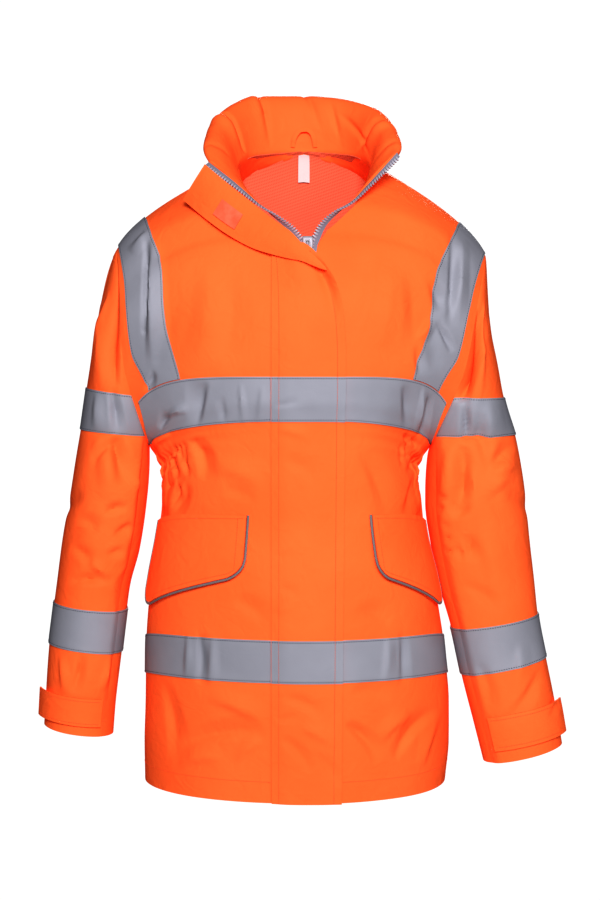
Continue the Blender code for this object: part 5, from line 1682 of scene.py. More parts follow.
LAPEL = table(
    "fold_x  fold_y  fold_z  free_x  free_y  free_z",
    (  38.5, -117.8, -115.5,   39,   -117.8, -118),
    (  32,   -118,   -108,     31,   -117.8, -115.5),
    (  26,   -117,   -102,     21,   -117,   -111.5),
    (  18,   -115,    -95,     10,   -114.5, -107),
    (   8,   -111,    -84,     -4,   -109.5, -104),
    (  -2,   -106,    -73,    -16,   -104.5, -101),
    ( -25,    -96,    -56,    -45,    -96,    -92),
    ( -51,    -86,    -35,    -75,    -86,    -76),
    ( -77,    -75,    -14,   -104,    -75,    -55),
    (-105,    -63,     10,   -132,    -52,    -31),
)
LAPEL_BULGE = 3.0
LAPEL_THICK = 2.6
PATCH_SPAN = (6.95, 7.85)
PATCH_SHARE = (0.38, 0.80)


@dataclass
class StormFlap:
    """The flap over the zip, sewn to the wearer's right front, with its top turned back."""

    cloth: bpy.types.Material
    tape: TapeRoll
    nap: bpy.types.Material
    sewing: Sewing
    panels: Panels
    flap_cut: Cut = Cut(0.088, 0.68, 0.056, held="hung")
    top_cut: Cut = Cut(0.055, 0.20, 0.0078, held="folded")
    patch_cut: Cut = Cut(0.022, 0.030)
    seam_stitch: float = 0.105
    edge_stitch: float = 0.89
    band_length: float = 0.090
    top_level: float = 2.96
    least_stand: float = 0.6
    nap_thick: float = 1.0
    nap_off: float = 1.2

    def sheet_points(self, x: Array, level: Array, out: Array) -> Patch:
        """Both fronts as one surface by x and level, straight across the zip between them.

        Args:
            x: Where the points are from side to side.
            level: Their levels.
            out: How far they stand off the fronts.

        Returns:
            Points and normals.
        """
        ends = []
        for side, clip in ((Side.RIGHT, np.minimum), (Side.LEFT, np.maximum)):
            panel = self.panels[side, Face.FRONT]
            edge = panel.inner(level)[..., 0]
            column = panel.column_at(clip(x, edge), level)
            ends.append((edge, *panel.points(column, level)))
        (x0, point0, normal0), (x1, point1, normal1) = ends
        share = np.clip((x - x0) / (x1 - x0), 0, 1)[..., None]
        normal = unit(normal0 + (normal1 - normal0) * share)
        return point0 + (point1 - point0) * share + normal * out[..., None], normal

    def at(self, share: Array, level: Array, out: float = 0.0) -> Patch:
        """The flap's outer face by share, 0 at its seam to 1 at its free edge, and level."""
        edge = look_up(FLAP_EDGE, "level", "edge_x", level)
        puff = look_up(FLAP_EDGE, "level", "puff", level)
        plain = look_up(FLAP_STAND, "share", "plain", share)
        puffed = look_up(FLAP_STAND, "share", "puffed", share)
        x = FLAP_SEAM_X + (edge - FLAP_SEAM_X) * share
        z = np.interp(level, FRONT_LEVELS["level"], FRONT_LEVELS["edge_z"])
        own = FLAP_CREASES.lift(x, z) * np.clip(share * 8, 0, 1)
        dip = (look_up(FLAP_EDGE, "level", "dip", level)
               * look_up(FLAP_STAND, "share", "dip", share))
        stand = plain + (puffed - plain) * puff - dip + np.maximum(own, self.least_stand - plain)
        return self.sheet_points(x, level, stand + FLAP + out)

    def lapel(self, share: Array, row: Array, out: float = 0.0) -> Patch:
        """The turned-back top: straight from its fold to its free edge, bulged by a sine."""
        step, last = 1e-2, len(LAPEL["fold_x"]) - 1.0

        def base(share: Array, row: Array) -> Array:
            """Points without the normal's offset."""
            fold, free = (path_by_row(LAPEL, end, row) for end in ("fold", "free"))
            width = np.linalg.norm(free - fold, axis=-1)
            point = fold + (free - fold) * share[..., None]
            point[..., 1] -= LAPEL_BULGE * np.sin(share * math.pi) * np.clip(width / 40, 0, 1)
            return point

        across = base(share + step, row) - base(share - step, row)
        along = base(share, np.minimum(row + step, last)) - base(share, np.maximum(row - step, 0))
        normal = unit(np.cross(across, along))
        normal = normal * np.where(normal[..., 1:2] > 0, -1, 1)
        return base(share, row) + normal * out, normal

    def build(self) -> None:
        """Builds the flap, its bands, its turned-back top and the hook-and-loop patch."""
        levels = np.concatenate([LEVELS[LEVELS < self.top_level - 0.01], [self.top_level]])
        shares = np.linspace(0, 1, 29)
        fit(wall("storm_flap_cloth", [self.at(*grid(shares, levels))], FLAP, self.cloth),
            ("storm_flap",), self.flap_cut)
        for name, ends in (("hip", HIP_BAND), ("chest", CHEST_BAND)):
            patch = self.at(*grid(shares, between(levels, *ends)), out=LAY_GAP + TAPE)
            self.tape.lay(f"{name}_band_flap", [patch], self.band_length, ("storm_flap_cloth",))
        rows = np.linspace(0, len(LAPEL["fold_x"]) - 1, 73)
        fit(wall("storm_flap_turned_top_cloth", [self.lapel(*grid(np.linspace(0, 1, 19), rows))],
                 LAPEL_THICK, self.cloth), ("storm_flap_turned_top",),
            self.top_cut)
        patch = self.lapel(*grid(np.linspace(*PATCH_SHARE, 9), np.linspace(*PATCH_SPAN, 11)),
                           out=LAY_GAP + self.nap_off)
        fit(wall("flap_hook_patch_nap", [patch], self.nap_thick, self.nap),
            ("flap_hook_patch",), self.patch_cut)
        self.sew(levels)

    def sew(self, levels: Array) -> None:
        """Stitches beside the seam and inside the free edge, red where they cross the bands."""
        for share in (self.seam_stitch, self.edge_stitch):
            for low, high, colour, out in (
                    (0.0, HIP_BAND[0], ThreadColour.ORANGE, 0.0),
                    (*HIP_BAND, ThreadColour.RED, LAY_GAP + TAPE),
                    (HIP_BAND[1], CHEST_BAND[0], ThreadColour.ORANGE, 0.0),
                    (*CHEST_BAND, ThreadColour.RED, LAY_GAP + TAPE),
                    (CHEST_BAND[1], 2.9, ThreadColour.ORANGE, 0.0)):
                rows = levels[(levels >= low) & (levels <= high)]
                self.sewing.run(colour, self.at(np.full_like(rows, share), rows, out=out))


COLLAR = table(
    "foot_x  foot_y  foot_z  crest_x  crest_y  crest_z  full",
    (-41,   -67,    -37,     -100,    -49,     14,    0.15),
    (-58,   -40,    -15,     -108,    -24,     36,    0.60),
    (-68,     0,     14,     -105,     12,     60,    0.95),
    (-57,    40,     33,      -86,     52,     90,    1.00),
    (-28,    68,     40,      -50,     82,    110,    1.00),
    ( 13,    80,     43,        8,     98,    113,    1.00),
    ( 54,    68,     40,       58,     90,    108,    1.00),
    ( 83,    40,     33,      104,     58,     92,    1.00),
    ( 94,     0,     15,      126,     14,     60,    0.95),
    ( 85,   -40,    -14,      130,    -22,     38,    0.60),
    ( 69,   -67,    -36,      123,    -43,     24,    0.15),
)
COLLAR_SECTION = table(
    "up    across",
    (0.00,   0.8),
    (0.12,   3.5),
    (0.35,   8.0),
    (0.65,  10.0),
    (0.90,   8.0),
    (1.00,   0.0),
    (0.93,  -9.0),
    (0.70, -13.0),
    (0.42, -10.0),
    (0.16,  -4.5),
    (0.00,  -0.8),
)
COLLAR_CREST = 5
FOOT_LIFT = 0.4
COLLAR_THIN = 1.6
COLLAR_STEP = 0.02
# Creases of the collar: where along the neckline, where round the section, how long each way,
# how deep, and how much the crease leans along the neckline as it goes round.
COLLAR_CREASES = table(
    "place  turn  half_place  half_turn  depth  lean",
    (2.75,  7.2,  0.055,      2.1,  -8.0,   0.08),
    (2.50,  6.6,  0.150,      1.8,   5.0,   0.05),
    (4.05,  7.0,  0.075,      1.7,  -4.6,  -0.05),
    (3.85,  6.6,  0.120,      1.5,   2.0,  -0.05),
    (5.25,  6.3,  0.090,      1.4,  -3.2,   0.20),
    (5.95,  7.4,  0.090,      1.2,  -3.0,   0.15),
    (7.30,  7.6,  0.085,      1.3,  -8.0,  -0.25),
    (7.62,  7.0,  0.150,      1.4,   5.0,  -0.20),
    (6.80,  8.2,  0.140,      0.8,  -4.6,   0.50),
    (1.20,  6.6,  0.110,      1.4,  -2.8,   0.30),
    (8.70,  6.8,  0.120,      1.4,  -2.8,  -0.20),
    (3.30,  3.0,  0.110,      1.5,  -3.6,   0.10),
    (4.90,  2.6,  0.130,      1.5,  -3.2,  -0.10),
    (6.60,  3.0,  0.120,      1.5,  -3.8,   0.15),
    (8.10,  2.6,  0.110,      1.3,  -3.2,   0.10),
    (1.90,  2.6,  0.110,      1.3,  -3.2,  -0.10),
)


def collar_points(place: Array, up: Array, across: Array) -> Array:
    """The collar at a place along the neckline, a share up it and so far from its middle.

    The foot and the crest are smooth lines, and the thickness is spread square to both, thin
    where the zip is sewn on.

    Args:
        place: Along the neckline, from the right front to the left.
        up: From the foot, 0, to the crest, 1.
        across: Distance from the middle, minus to the inside.

    Returns:
        Points in millimetres.
    """
    foot, crest = path_by_row(COLLAR, "foot", place), path_by_row(COLLAR, "crest", place)
    after, before = place + COLLAR_STEP, place - COLLAR_STEP
    run = path_by_row(COLLAR, "foot", after) - path_by_row(COLLAR, "foot", before)
    run = run + path_by_row(COLLAR, "crest", after) - path_by_row(COLLAR, "crest", before)
    rise = crest - foot
    out = unit(np.cross(rise, run))
    thin = np.clip(across, -COLLAR_THIN, COLLAR_THIN)
    spread = thin + (across - thin) * by_row(COLLAR, "full", place)
    start = unit(rise) * FOOT_LIFT
    return foot + start + (rise - start) * up[..., None] + out * spread[..., None]


def collar_inside(up: Array) -> Array:
    """How far the collar's inner face lies from its middle at a share up it."""
    face = slice(None, COLLAR_CREST, -1)
    return np.interp(up, COLLAR_SECTION["up"][face], COLLAR_SECTION["across"][face])


@dataclass
class Collar:
    """The stand collar with the hood rolled up inside it."""

    cloth: bpy.types.Material
    place_cells: int = 200
    turn_stops: int = 70
    fill: float = 0.45

    def build(self) -> None:
        """Builds the collar: section rings along the neckline, creased square to its face."""
        last_turn = len(COLLAR_SECTION["up"]) - 1.0
        turn, place = np.meshgrid(np.linspace(0, last_turn, self.turn_stops),
                                  np.linspace(0, len(COLLAR["full"]) - 1, self.place_cells + 1))
        rings = collar_points(place, by_row(COLLAR_SECTION, "up", turn),
                              by_row(COLLAR_SECTION, "across", turn))
        normal = unit(np.cross(np.gradient(rings, axis=1), np.gradient(rings, axis=0)))
        outward = rings - rings.mean(axis=1, keepdims=True)
        if np.sum(normal * outward) < 0:
            normal = -normal
        lift = self.lift(place, turn) + unevenness(rings[..., 0], rings[..., 1],
                                                   rings[..., 2] * 1.4)
        full = by_row(COLLAR, "full", place)
        foot = np.clip(turn * 1.5, 0, 1) * np.clip((last_turn - turn) * 1.5, 0, 1)
        rings = rings + normal * (lift * foot * full)[..., None]
        item = tube("collar_cloth", rings, self.cloth, sharp=70.0)
        fit(item, ("collar",))

    def lift(self, place: Array, turn: Array) -> Array:
        """The sum of the collar's creases: depth * exp(-(place off / half)^2 - (turn off)^2)."""
        total = np.zeros(np.shape(place))
        for at, around, half_place, half_turn, depth, lean in zip(*COLLAR_CREASES.values()):
            off = (turn - around) / half_turn
            aside = (place - at - lean * off) / half_place
            total = total + depth * np.exp(-np.abs(aside) ** 1.7 - off ** 2)
        return total


OPEN_ZIP = {
    Side.RIGHT: table(
        "chain_x  chain_y  chain_z  sewn_x  sewn_y  sewn_z",
        (  12,     -92,     -82,      5.5,   -91,    -87),
        (   0,     -87,     -67,     -6,     -83,    -70),
        ( -21,     -81,     -52,    -25,     -76,    -52),
        ( -41,     -76,     -40,    -42,     -70,    -37),
        ( -75,     -66,     -14,    -72,     -61,    -10),
        (-105,     -55,       9,   -101,     -51,     13),
    ),
    Side.LEFT: table(
        "chain_x  chain_y  chain_z  sewn_x  sewn_y  sewn_z",
        (  22,     -92,     -82,     28.5,   -91,    -87),
        (  33,     -87,     -62,     39,     -83,    -64),
        (  50,     -81,     -48,     54,     -76,    -48),
        (  68,     -76,     -38,     70,     -70,    -35),
        (  98,     -64,     -10,     97,     -59,     -6),
        ( 127,     -49,      20,    124,     -46,     25),
    ),
}
TAPE_TO_EDGE = 0.5
SLIDER = table(
    "z     half_width  back_y  front_y",
    (-77,   5.5,       -92.8,   -96.0),
    (-79,   6.5,       -93.2,   -97.0),
    (-87,   6.5,       -94.0,   -98.2),
    (-94,   4.8,       -95.4,   -99.6),
    (-96,   3.8,       -96.0,   -99.4),
)
PULL_AXIS = (17.0, -101.7, -84.2)


@dataclass
class NeckZip:
    """The zip, open above its slider: two tapes, their teeth, the slider and its tab."""

    fabric: bpy.types.Material
    plastic: bpy.types.Material
    metal: bpy.types.Material
    panels: Panels
    chain_aside: float = 0.6
    open_stops: int = 61
    pitch: float = 3.7
    tooth: tuple[float, float, float] = (5.4, 1.9, 3.0)
    tooth_out: float = 2.3
    tape_cut: Cut = Cut(0.0100, 0.650)
    tab_width: float = 6.4
    tab_length: float = 23.0
    tab_thick: float = 1.4
    tab_slot: tuple[float, float] = (3.6, 8.0)
    tab_bar: float = 2.0
    tab_above: float = 1.6
    tab_edge: float = 0.35
    slot_edge: float = 0.3
    body_power: float = 0.45
    bridge_half: tuple[float, float] = (1.1, 0.55)

    def lines(self, side: Side) -> tuple[Array, Array, Array]:
        """A tape's toothed edge, its sewn edge and its normals, from the hem to the collar."""
        panel = self.panels[side, Face.FRONT]
        levels = LEVELS[LEVELS < 2.8]
        sewn, normal = panel.points(np.zeros_like(levels), levels)
        chain = sewn.copy()
        chain[:, 0] = ZIP_X + side.sign * self.chain_aside
        sewn[:, 0] -= side.sign * TAPE_TO_EDGE
        rows = OPEN_ZIP[side]
        at = np.linspace(0, len(rows["chain_x"]) - 1, self.open_stops)
        open_chain, open_sewn = (path_by_row(rows, line, at) for line in ("chain", "sewn"))
        run = np.gradient(open_chain, axis=0)
        open_normal = unit(np.cross(open_sewn - open_chain, run) * side.sign)
        return (np.concatenate([chain, open_chain]), np.concatenate([sewn, open_sewn]),
                np.concatenate([normal, open_normal]))

    def build(self) -> None:
        """Builds the tapes and their teeth, then the slider and its tab."""
        for side in Side:
            chain, sewn, normal = self.lines(side)
            patch = strip(chain, sewn - chain, normal, np.linspace(0, 1, 5))
            item = wall(f"zip_tape_{side.value}_fabric", [patch], ZIP_TAPE, self.fabric)
            fit(item, (f"zip_tape_{side.value}",), self.tape_cut)
            self.teeth(side, chain, sewn, normal)
        self.slider()
        self.tab()

    def teeth(self, side: Side, chain: Array, sewn: Array, normal: Array) -> None:
        """Moulded teeth along a tape's edge: three rings from root to rounded tip for each.

        Args:
            side: Which tape.
            chain: Its toothed edge.
            sewn: Its sewn edge.
            normal: Its normals.
        """
        gone = gone_along(chain)
        first = self.pitch * (0.5 if side is Side.RIGHT else 1.0)
        stops = np.arange(first, gone[-1] - 2.0, self.pitch)
        across = unit(read_along(gone, unit(chain - sewn), stops))
        up = unit(read_along(gone, normal, stops))
        along = unit(np.cross(across, up))
        length, width, thick = self.tooth
        root = self.tooth_out - length
        rings = table("at  wide  high", (root, 0.8, 0.75), (root + 1.2, 1.0, 1.0),
                      (self.tooth_out - 1.0, 1.0, 1.0), (self.tooth_out, 0.6, 0.6))
        shape = np.array([(at, w * width / 2 * a, h * thick / 2 * b - ZIP_TAPE / 2)
                          for at, w, h in zip(*rings.values())
                          for a, b in ((1, 1), (-1, 1), (-1, -1), (1, -1))])
        points = set_out(shape, read_along(gone, chain, stops), across, along,
                         np.cross(along, across))
        faces = [[3, 2, 1, 0], [12, 13, 14, 15]]
        faces += [[r * 4 + i, r * 4 + (i + 1) % 4, r * 4 + 4 + (i + 1) % 4, r * 4 + 4 + i]
                  for r in range(3) for i in range(4)]
        item = load_mesh(f"zip_teeth_{side.value}", points.reshape(-1, 3),
                         repeat_faces(faces, len(shape), len(points)), self.plastic, sharp=40.0)
        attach(item, "jacket")
        LOG.info("%s, %d teeth", item.name, len(points))

    def slider(self) -> None:
        """The slider: rounded sections down its length, and a bridge over its face."""
        z = np.linspace(SLIDER["z"][-1], SLIDER["z"][0], 25)
        keys = SLIDER["z"][::-1]
        half, back, front = (smooth(keys, SLIDER[c][::-1], z)[:, None]
                             for c in ("half_width", "back_y", "front_y"))
        turn = np.linspace(0, 2 * math.pi, 28, endpoint=False)[None, :]
        x, y = squared(np.cos(turn), self.body_power), squared(np.sin(turn), self.body_power)
        rings = np.stack(np.broadcast_arrays(
            ZIP_X + half * x, (back + front) / 2 + (back - front) / 2 * y, z[:, None]), axis=-1)
        body = tube("zip_slider_body", rings, self.metal, sharp=60.0)
        arch = np.linspace(0, math.pi, 17)
        path = np.stack([0 * arch + ZIP_X, -97.6 - 5.6 * np.sin(arch) ** 0.7,
                         -85.8 - 3.4 * np.cos(arch)], axis=-1)
        run = unit(np.gradient(path, axis=0))
        aside = np.array([1.0, 0.0, 0.0])
        lift = np.cross(run, aside)
        turn = turn.reshape(-1)[::3]
        wide, high = self.bridge_half
        rings = (path[:, None] + aside * wide * np.cos(turn)[:, None]
                 + lift[:, None] * high * np.sin(turn)[:, None])
        bridge = tube("zip_slider_bridge", rings, self.metal, sharp=60.0)
        fit(body, ("zip_slider",))
        fit(bridge)

    def tab(self) -> None:
        """The pull tab: a rounded outline with a rounded slot, as a ring of quads with rims."""
        turn = np.linspace(0, 2 * math.pi, 64, endpoint=False)
        top = self.tab_bar + self.tab_above
        middle = top - self.tab_length / 2

        def loop(half_width: float, half_length: float, centre: float) -> Array:
            """A rounded rectangle as a superellipse."""
            x, z = squared(np.cos(turn), 0.4), squared(np.sin(turn), 0.55)
            return np.stack([half_width * x, half_length * z + centre], axis=-1)

        slot_half = self.tab_slot[1] / 2
        slot_middle = top - self.tab_bar - slot_half
        inner, edge = self.slot_edge, self.tab_edge
        rims = [(loop(self.tab_width / 2, self.tab_length / 2, middle), 0.0),
                (loop(self.tab_width / 2 - edge, self.tab_length / 2 - edge, middle), 1.0),
                (loop(self.tab_slot[0] / 2 + inner, slot_half + inner, slot_middle), 1.0),
                (loop(self.tab_slot[0] / 2, slot_half, slot_middle), 0.0)]
        order = [(0, -1), (1, -1), (2, -1), (3, -1), (3, 1), (2, 1), (1, 1), (0, 1)]
        half = self.tab_thick / 2
        rings = []
        for index, face in order:
            flat, proud = rims[index]
            y = face * (half if proud else half - inner)
            rings.append(np.stack([flat[:, 0], np.full(len(flat), y), flat[:, 1]], axis=-1))
        rings = np.array(rings + rings[:1]) + np.array(PULL_AXIS)
        size = rings.shape[1]
        ids = np.arange(8 * size).reshape(8, size)
        ids = np.concatenate([ids, ids[:1]])
        after = np.roll(ids, -1, axis=1)
        quads = np.stack([ids[:-1], after[:-1], after[1:], ids[1:]], axis=-1).reshape(-1, 4)
        item = load_mesh("zip_pull_tab_metal", rings[:-1].reshape(-1, 3), quads.tolist(),
                         self.metal, sharp=35.0)
        item.data.validate()
        fix_facing(item)
        fit(item, ("zip_pull_tab",), body="zip_pull")


def fix_facing(item: bpy.types.Object) -> None:
    """Turns a closed mesh's faces outwards if its volume comes out below zero."""
    mesh = item.data
    mesh.calc_loop_triangles()
    corners = np.zeros(len(mesh.loop_triangles) * 3, int)
    mesh.loop_triangles.foreach_get("vertices", corners)
    points = np.zeros(len(mesh.vertices) * 3)
    mesh.vertices.foreach_get("co", points)
    a, b, c = points.reshape(-1, 3)[corners.reshape(-1, 3)].transpose(1, 0, 2)
    if np.sum(a * np.cross(b, c)) < 0:
        mesh.flip_normals()


@dataclass
class Pockets:
    """Both pocket flaps with their piping."""

    cloth: bpy.types.Material
    cord: bpy.types.Material
    sewing: Sewing
    inner_x: dict = field(default_factory=lambda: {Side.RIGHT: -54.0, Side.LEFT: 92.0})
    outer_column: float = 0.865
    top: float = 0.753
    bottom_inner: float = 0.600
    bottom_outer: float = 0.505
    round_inner: tuple[float, float] = (0.13, 0.040)
    round_outer: tuple[float, float] = (0.17, 0.050)
    stand: float = 3.5
    lay: float = 1.6
    piping_radius: float = 1.5
    piping_off: float = 0.6
    stitch_inset: float = 0.06
    flap_cuts: dict = field(default_factory=lambda: {Side.RIGHT: Cut(0.140, 0.115, 0.0137),
                                                     Side.LEFT: Cut(0.110, 0.115, 0.0103)})

    def place(self, panel: Panel, across: Array, down: Array) -> tuple[Array, Array]:
        """Columns and levels of a flap by share across and down, with two rounded corners.

        Args:
            panel: The front that it lies on.
            across: From the inner edge, 0, to the outer.
            down: From the top, 0, to the bottom.

        Returns:
            The column and the level of every point.
        """
        first = panel.column_at(self.inner_x[panel.side], self.top)
        column = first + (self.outer_column - first) * across
        bottom = self.bottom_inner + (self.bottom_outer - self.bottom_inner) * across
        for (reach, rise), gap in ((self.round_inner, across), (self.round_outer, 1 - across)):
            turn = np.clip(1 - gap / reach, 0, 1)
            bottom = bottom + rise * (1 - np.sqrt(1 - turn ** 2))
        return column, self.top - (self.top - bottom) * down

    def at(self, panel: Panel, across: Array, down: Array, out: float = 0.0) -> Patch:
        """The flap's outer face, which bridges the panel's folds and stands off below."""
        column, level = self.place(panel, across, down)
        stand = self.lay + POCKET_FLAP + self.stand * down ** 1.5
        return panel.points(column, level, out=stand + out, relief=0.0)

    def build(self, panels: Panels) -> None:
        """Builds both flaps, each with piping on three sides and a stitched line inside it."""
        corner = np.concatenate([np.linspace(0, 0.13, 14), np.linspace(0.15, 0.82, 24),
                                 np.linspace(0.84, 1.0, 18)])
        for side in Side:
            panel, name = panels[side, Face.FRONT], side.value
            patch = self.at(panel, *grid(corner, np.linspace(0, 1, 30)))
            fit(wall(f"pocket_flap_{name}_cloth", [patch], POCKET_FLAP, self.cloth),
                (f"pocket_flap_{name}",), self.flap_cuts[side])
            self.piping(panel, corner)
            inset, top = self.stitch_inset, np.linspace(0.02, 0.98, 60)
            self.sewing.run(ThreadColour.ORANGE, self.at(panel, top, 0 * top + inset))
            down = np.linspace(inset, 1 - inset, 30)
            across = np.linspace(inset, 1 - inset, 60)
            for line in ((0 * down + inset, down), (across, 0 * across + 1 - inset),
                         (0 * down + 1 - inset, down)):
                self.sewing.run(ThreadColour.ORANGE, self.at(panel, *line))

    def piping(self, panel: Panel, corner: Array) -> None:
        """A round cord beside the flap's edge: circles square to the edge's path."""
        down = np.linspace(0, 1, 26)
        across = np.concatenate([0 * down, corner[1:-1], 0 * down + 1])
        depth = np.concatenate([down, np.ones(len(corner) - 2), down[::-1]])
        path, normal = self.at(panel, across, depth, out=-POCKET_FLAP / 2)
        run = unit(np.gradient(path, axis=0))
        away = -np.cross(normal, run) * panel.side.sign
        path = path + away * (self.piping_radius + self.piping_off)
        turns = np.linspace(0, 2 * math.pi, 12, endpoint=False)
        rings = path[:, None] + self.piping_radius * (
            normal[:, None] * np.cos(turns)[:, None] + away[:, None] * np.sin(turns)[:, None])
        item = tube(f"pocket_piping_{panel.side.value}_cord", rings, self.cord, sharp=70.0)
        fit(item, (f"pocket_piping_{panel.side.value}",))


@dataclass
class NeckInside:
    """What shows inside the open neck: mesh lining, bare label, facings and hang loop."""

    cloth: bpy.types.Material
    mesh_cloth: bpy.types.Material
    label_cloth: bpy.types.Material
    panels: Panels
    label_x: tuple[float, float] = (5.5, 20.5)
    label_levels: tuple[float, float] = (3.66, 3.97)
    label_off: float = 2.6
    label_thick: float = 1.0
    lining_levels: tuple[float, float] = (2.70, 4.67)
    collar_middle: float = 5.0
    collar_reach: float = 3.0
    rise_ups: tuple[float, ...] = (0.024, 0.012, 0.0)
    rise_back: float = 0.4
    rise_before: float = 0.8
    rise_drops: Rows = field(default_factory=lambda: table(
        "level  drop",
        (4.00,   5.0),
        (4.20,  10.0),
        (4.40,  14.5),
        (4.65,  18.0),
        (4.85,  17.0),
        (5.00,   9.0),
    ))
    facing_behind: float = 1.6
    facing_deep: float = 22.0
    facing_aside: float = 6.0
    facing_thick: float = 1.6
    loop_width: float = 5.0
    loop_thick: float = 1.2
    loop_rows: Rows = field(default_factory=lambda: table(
        "place  up    off",
        (4.66,  0.03,  2.2),
        (4.70,  0.14,  4.4),
        (4.79,  0.23,  5.4),
        (4.93,  0.29,  5.8),
        (5.12,  0.30,  5.8),
        (5.26,  0.26,  5.4),
        (5.33,  0.16,  4.4),
        (5.35,  0.03,  2.2),
    ))

    def build(self) -> None:
        """Builds the pieces inside the neck."""
        self.lining()
        self.facings()
        self.hang_loop()

    def lining(self) -> None:
        """The lining follows the back's inner face, and the label stands a little before it."""
        columns = between(COLUMNS, 0.0, BRACE_COLUMNS[0])
        low, high = self.lining_levels
        levels = LEVELS[(LEVELS > low + 0.01) & (LEVELS < high - 0.01)]
        levels = np.concatenate([[low], levels, [high]])
        inside = -(CLOTH + LAY_GAP)
        patches = [self.panels[side, Face.BACK].points(*grid(columns, levels), out=inside)
                   for side in Side]
        weld_middle(patches, levels)
        rises = [self.neck_rise(side, patch[0]) for side, patch in zip(Side, patches)]
        fit(wall("collar_stand_cloth", rises, LINING, self.cloth))
        fit(wall("neck_lining_mesh", patches, LINING, self.mesh_cloth),
            ("neck_lining",), Cut(0.32, 0.27, 0.068, held="hung"))
        inside = inside - LINING - self.label_off
        levels = np.linspace(*self.label_levels, 15)
        patches = []
        for side, x in zip(Side, self.label_x):
            panel = self.panels[side, Face.BACK]
            column, level = grid(np.linspace(0, 1, 7), levels)
            column = column * panel.column_at(x + 0 * level, level)
            patches.append(panel.points(column, level, out=inside))
        weld_middle(patches, levels)
        fit(wall("neck_label_cloth", patches, self.label_thick, self.label_cloth),
            ("neck_label",), Cut(0.016, 0.025))

    def neck_rise(self, side: Side, lining: Array) -> Patch:
        """The collar's inner face goes on down over the lining's top edge.

        Args:
            side: Which half of the back.
            lining: The lining's points on that half.

        Returns:
            Points and normals, from the collar's inner face down to the lining.
        """
        levels = np.linspace(4, 5, 45)
        place = self.collar_middle + side.sign * self.collar_reach * (levels - 4)
        edge = self.panels[side, Face.BACK].points(0 * levels, levels,
                                                   out=-(CLOTH + LAY_GAP))[0]
        rows = [collar_points(place, up + 0 * place,
                              collar_inside(up) - self.rise_back + 0 * place)
                for up in self.rise_ups]
        drop = np.interp(levels, self.rise_drops["level"], self.rise_drops["drop"])
        foot = edge - drop[:, None] * np.array([0.0, 0.0, 1.0])
        flat = lining.reshape(-1, 3)
        apart = np.linalg.norm((foot[:, None] - flat[None])[..., ::2], axis=-1)
        behind = flat[np.argmin(apart, axis=1), 1]
        foot[:, 1] = np.maximum(behind - self.rise_before, edge[:, 1])
        rows += [edge + (foot - edge) * share for share in (0.0, 0.25, 0.5, 0.75, 1.0)]
        points = np.stack(rows)
        normals = np.broadcast_to(unit(np.array([0.0, -1.0, 0.15])), points.shape)
        return points, normals

    def facings(self) -> None:
        """A strip inside each front edge, between the zip and the lining."""
        levels = np.linspace(2.9, 3.8, 40)
        for side in Side:
            panel = self.panels[side, Face.FRONT]
            inside = -(CLOTH + self.facing_behind)
            near = panel.points(np.full_like(levels, 0.03), levels, out=inside)[0]
            far = near + np.array([side.sign * self.facing_aside, self.facing_deep, 0.0])
            normal = unit(np.cross(far - near, np.gradient(near, axis=0)))
            normal = normal * np.where(normal[:, :1] * side.sign > 0, -1, 1)
            patch = strip(near, far - near, normal, np.linspace(0, 1, 9))
            item = wall(f"front_facing_{side.value}_cloth", [patch], self.facing_thick,
                        self.cloth)
            fit(item, (f"front_facing_{side.value}",), Cut(0.022, 0.063))

    def hang_loop(self) -> None:
        """A narrow tape arched in front of the collar's inner face."""
        at = np.linspace(0, len(self.loop_rows["place"]) - 1, 50)
        places, up, off = (by_row(self.loop_rows, c, at) for c in ("place", "up", "off"))
        inner = collar_inside(up)
        path = collar_points(places, up, inner - off)
        normal = unit(path - collar_points(places, up, inner))
        run = unit(np.gradient(path, axis=0))
        half = unit(np.cross(run, normal)) * self.loop_width / 2
        patch = strip(path, half, normal, np.linspace(-1, 1, 5))
        fit(wall("hang_loop_cloth", [patch], self.loop_thick, self.cloth),
            ("hang_loop",), Cut(0.010, 0.090, 0.00045))


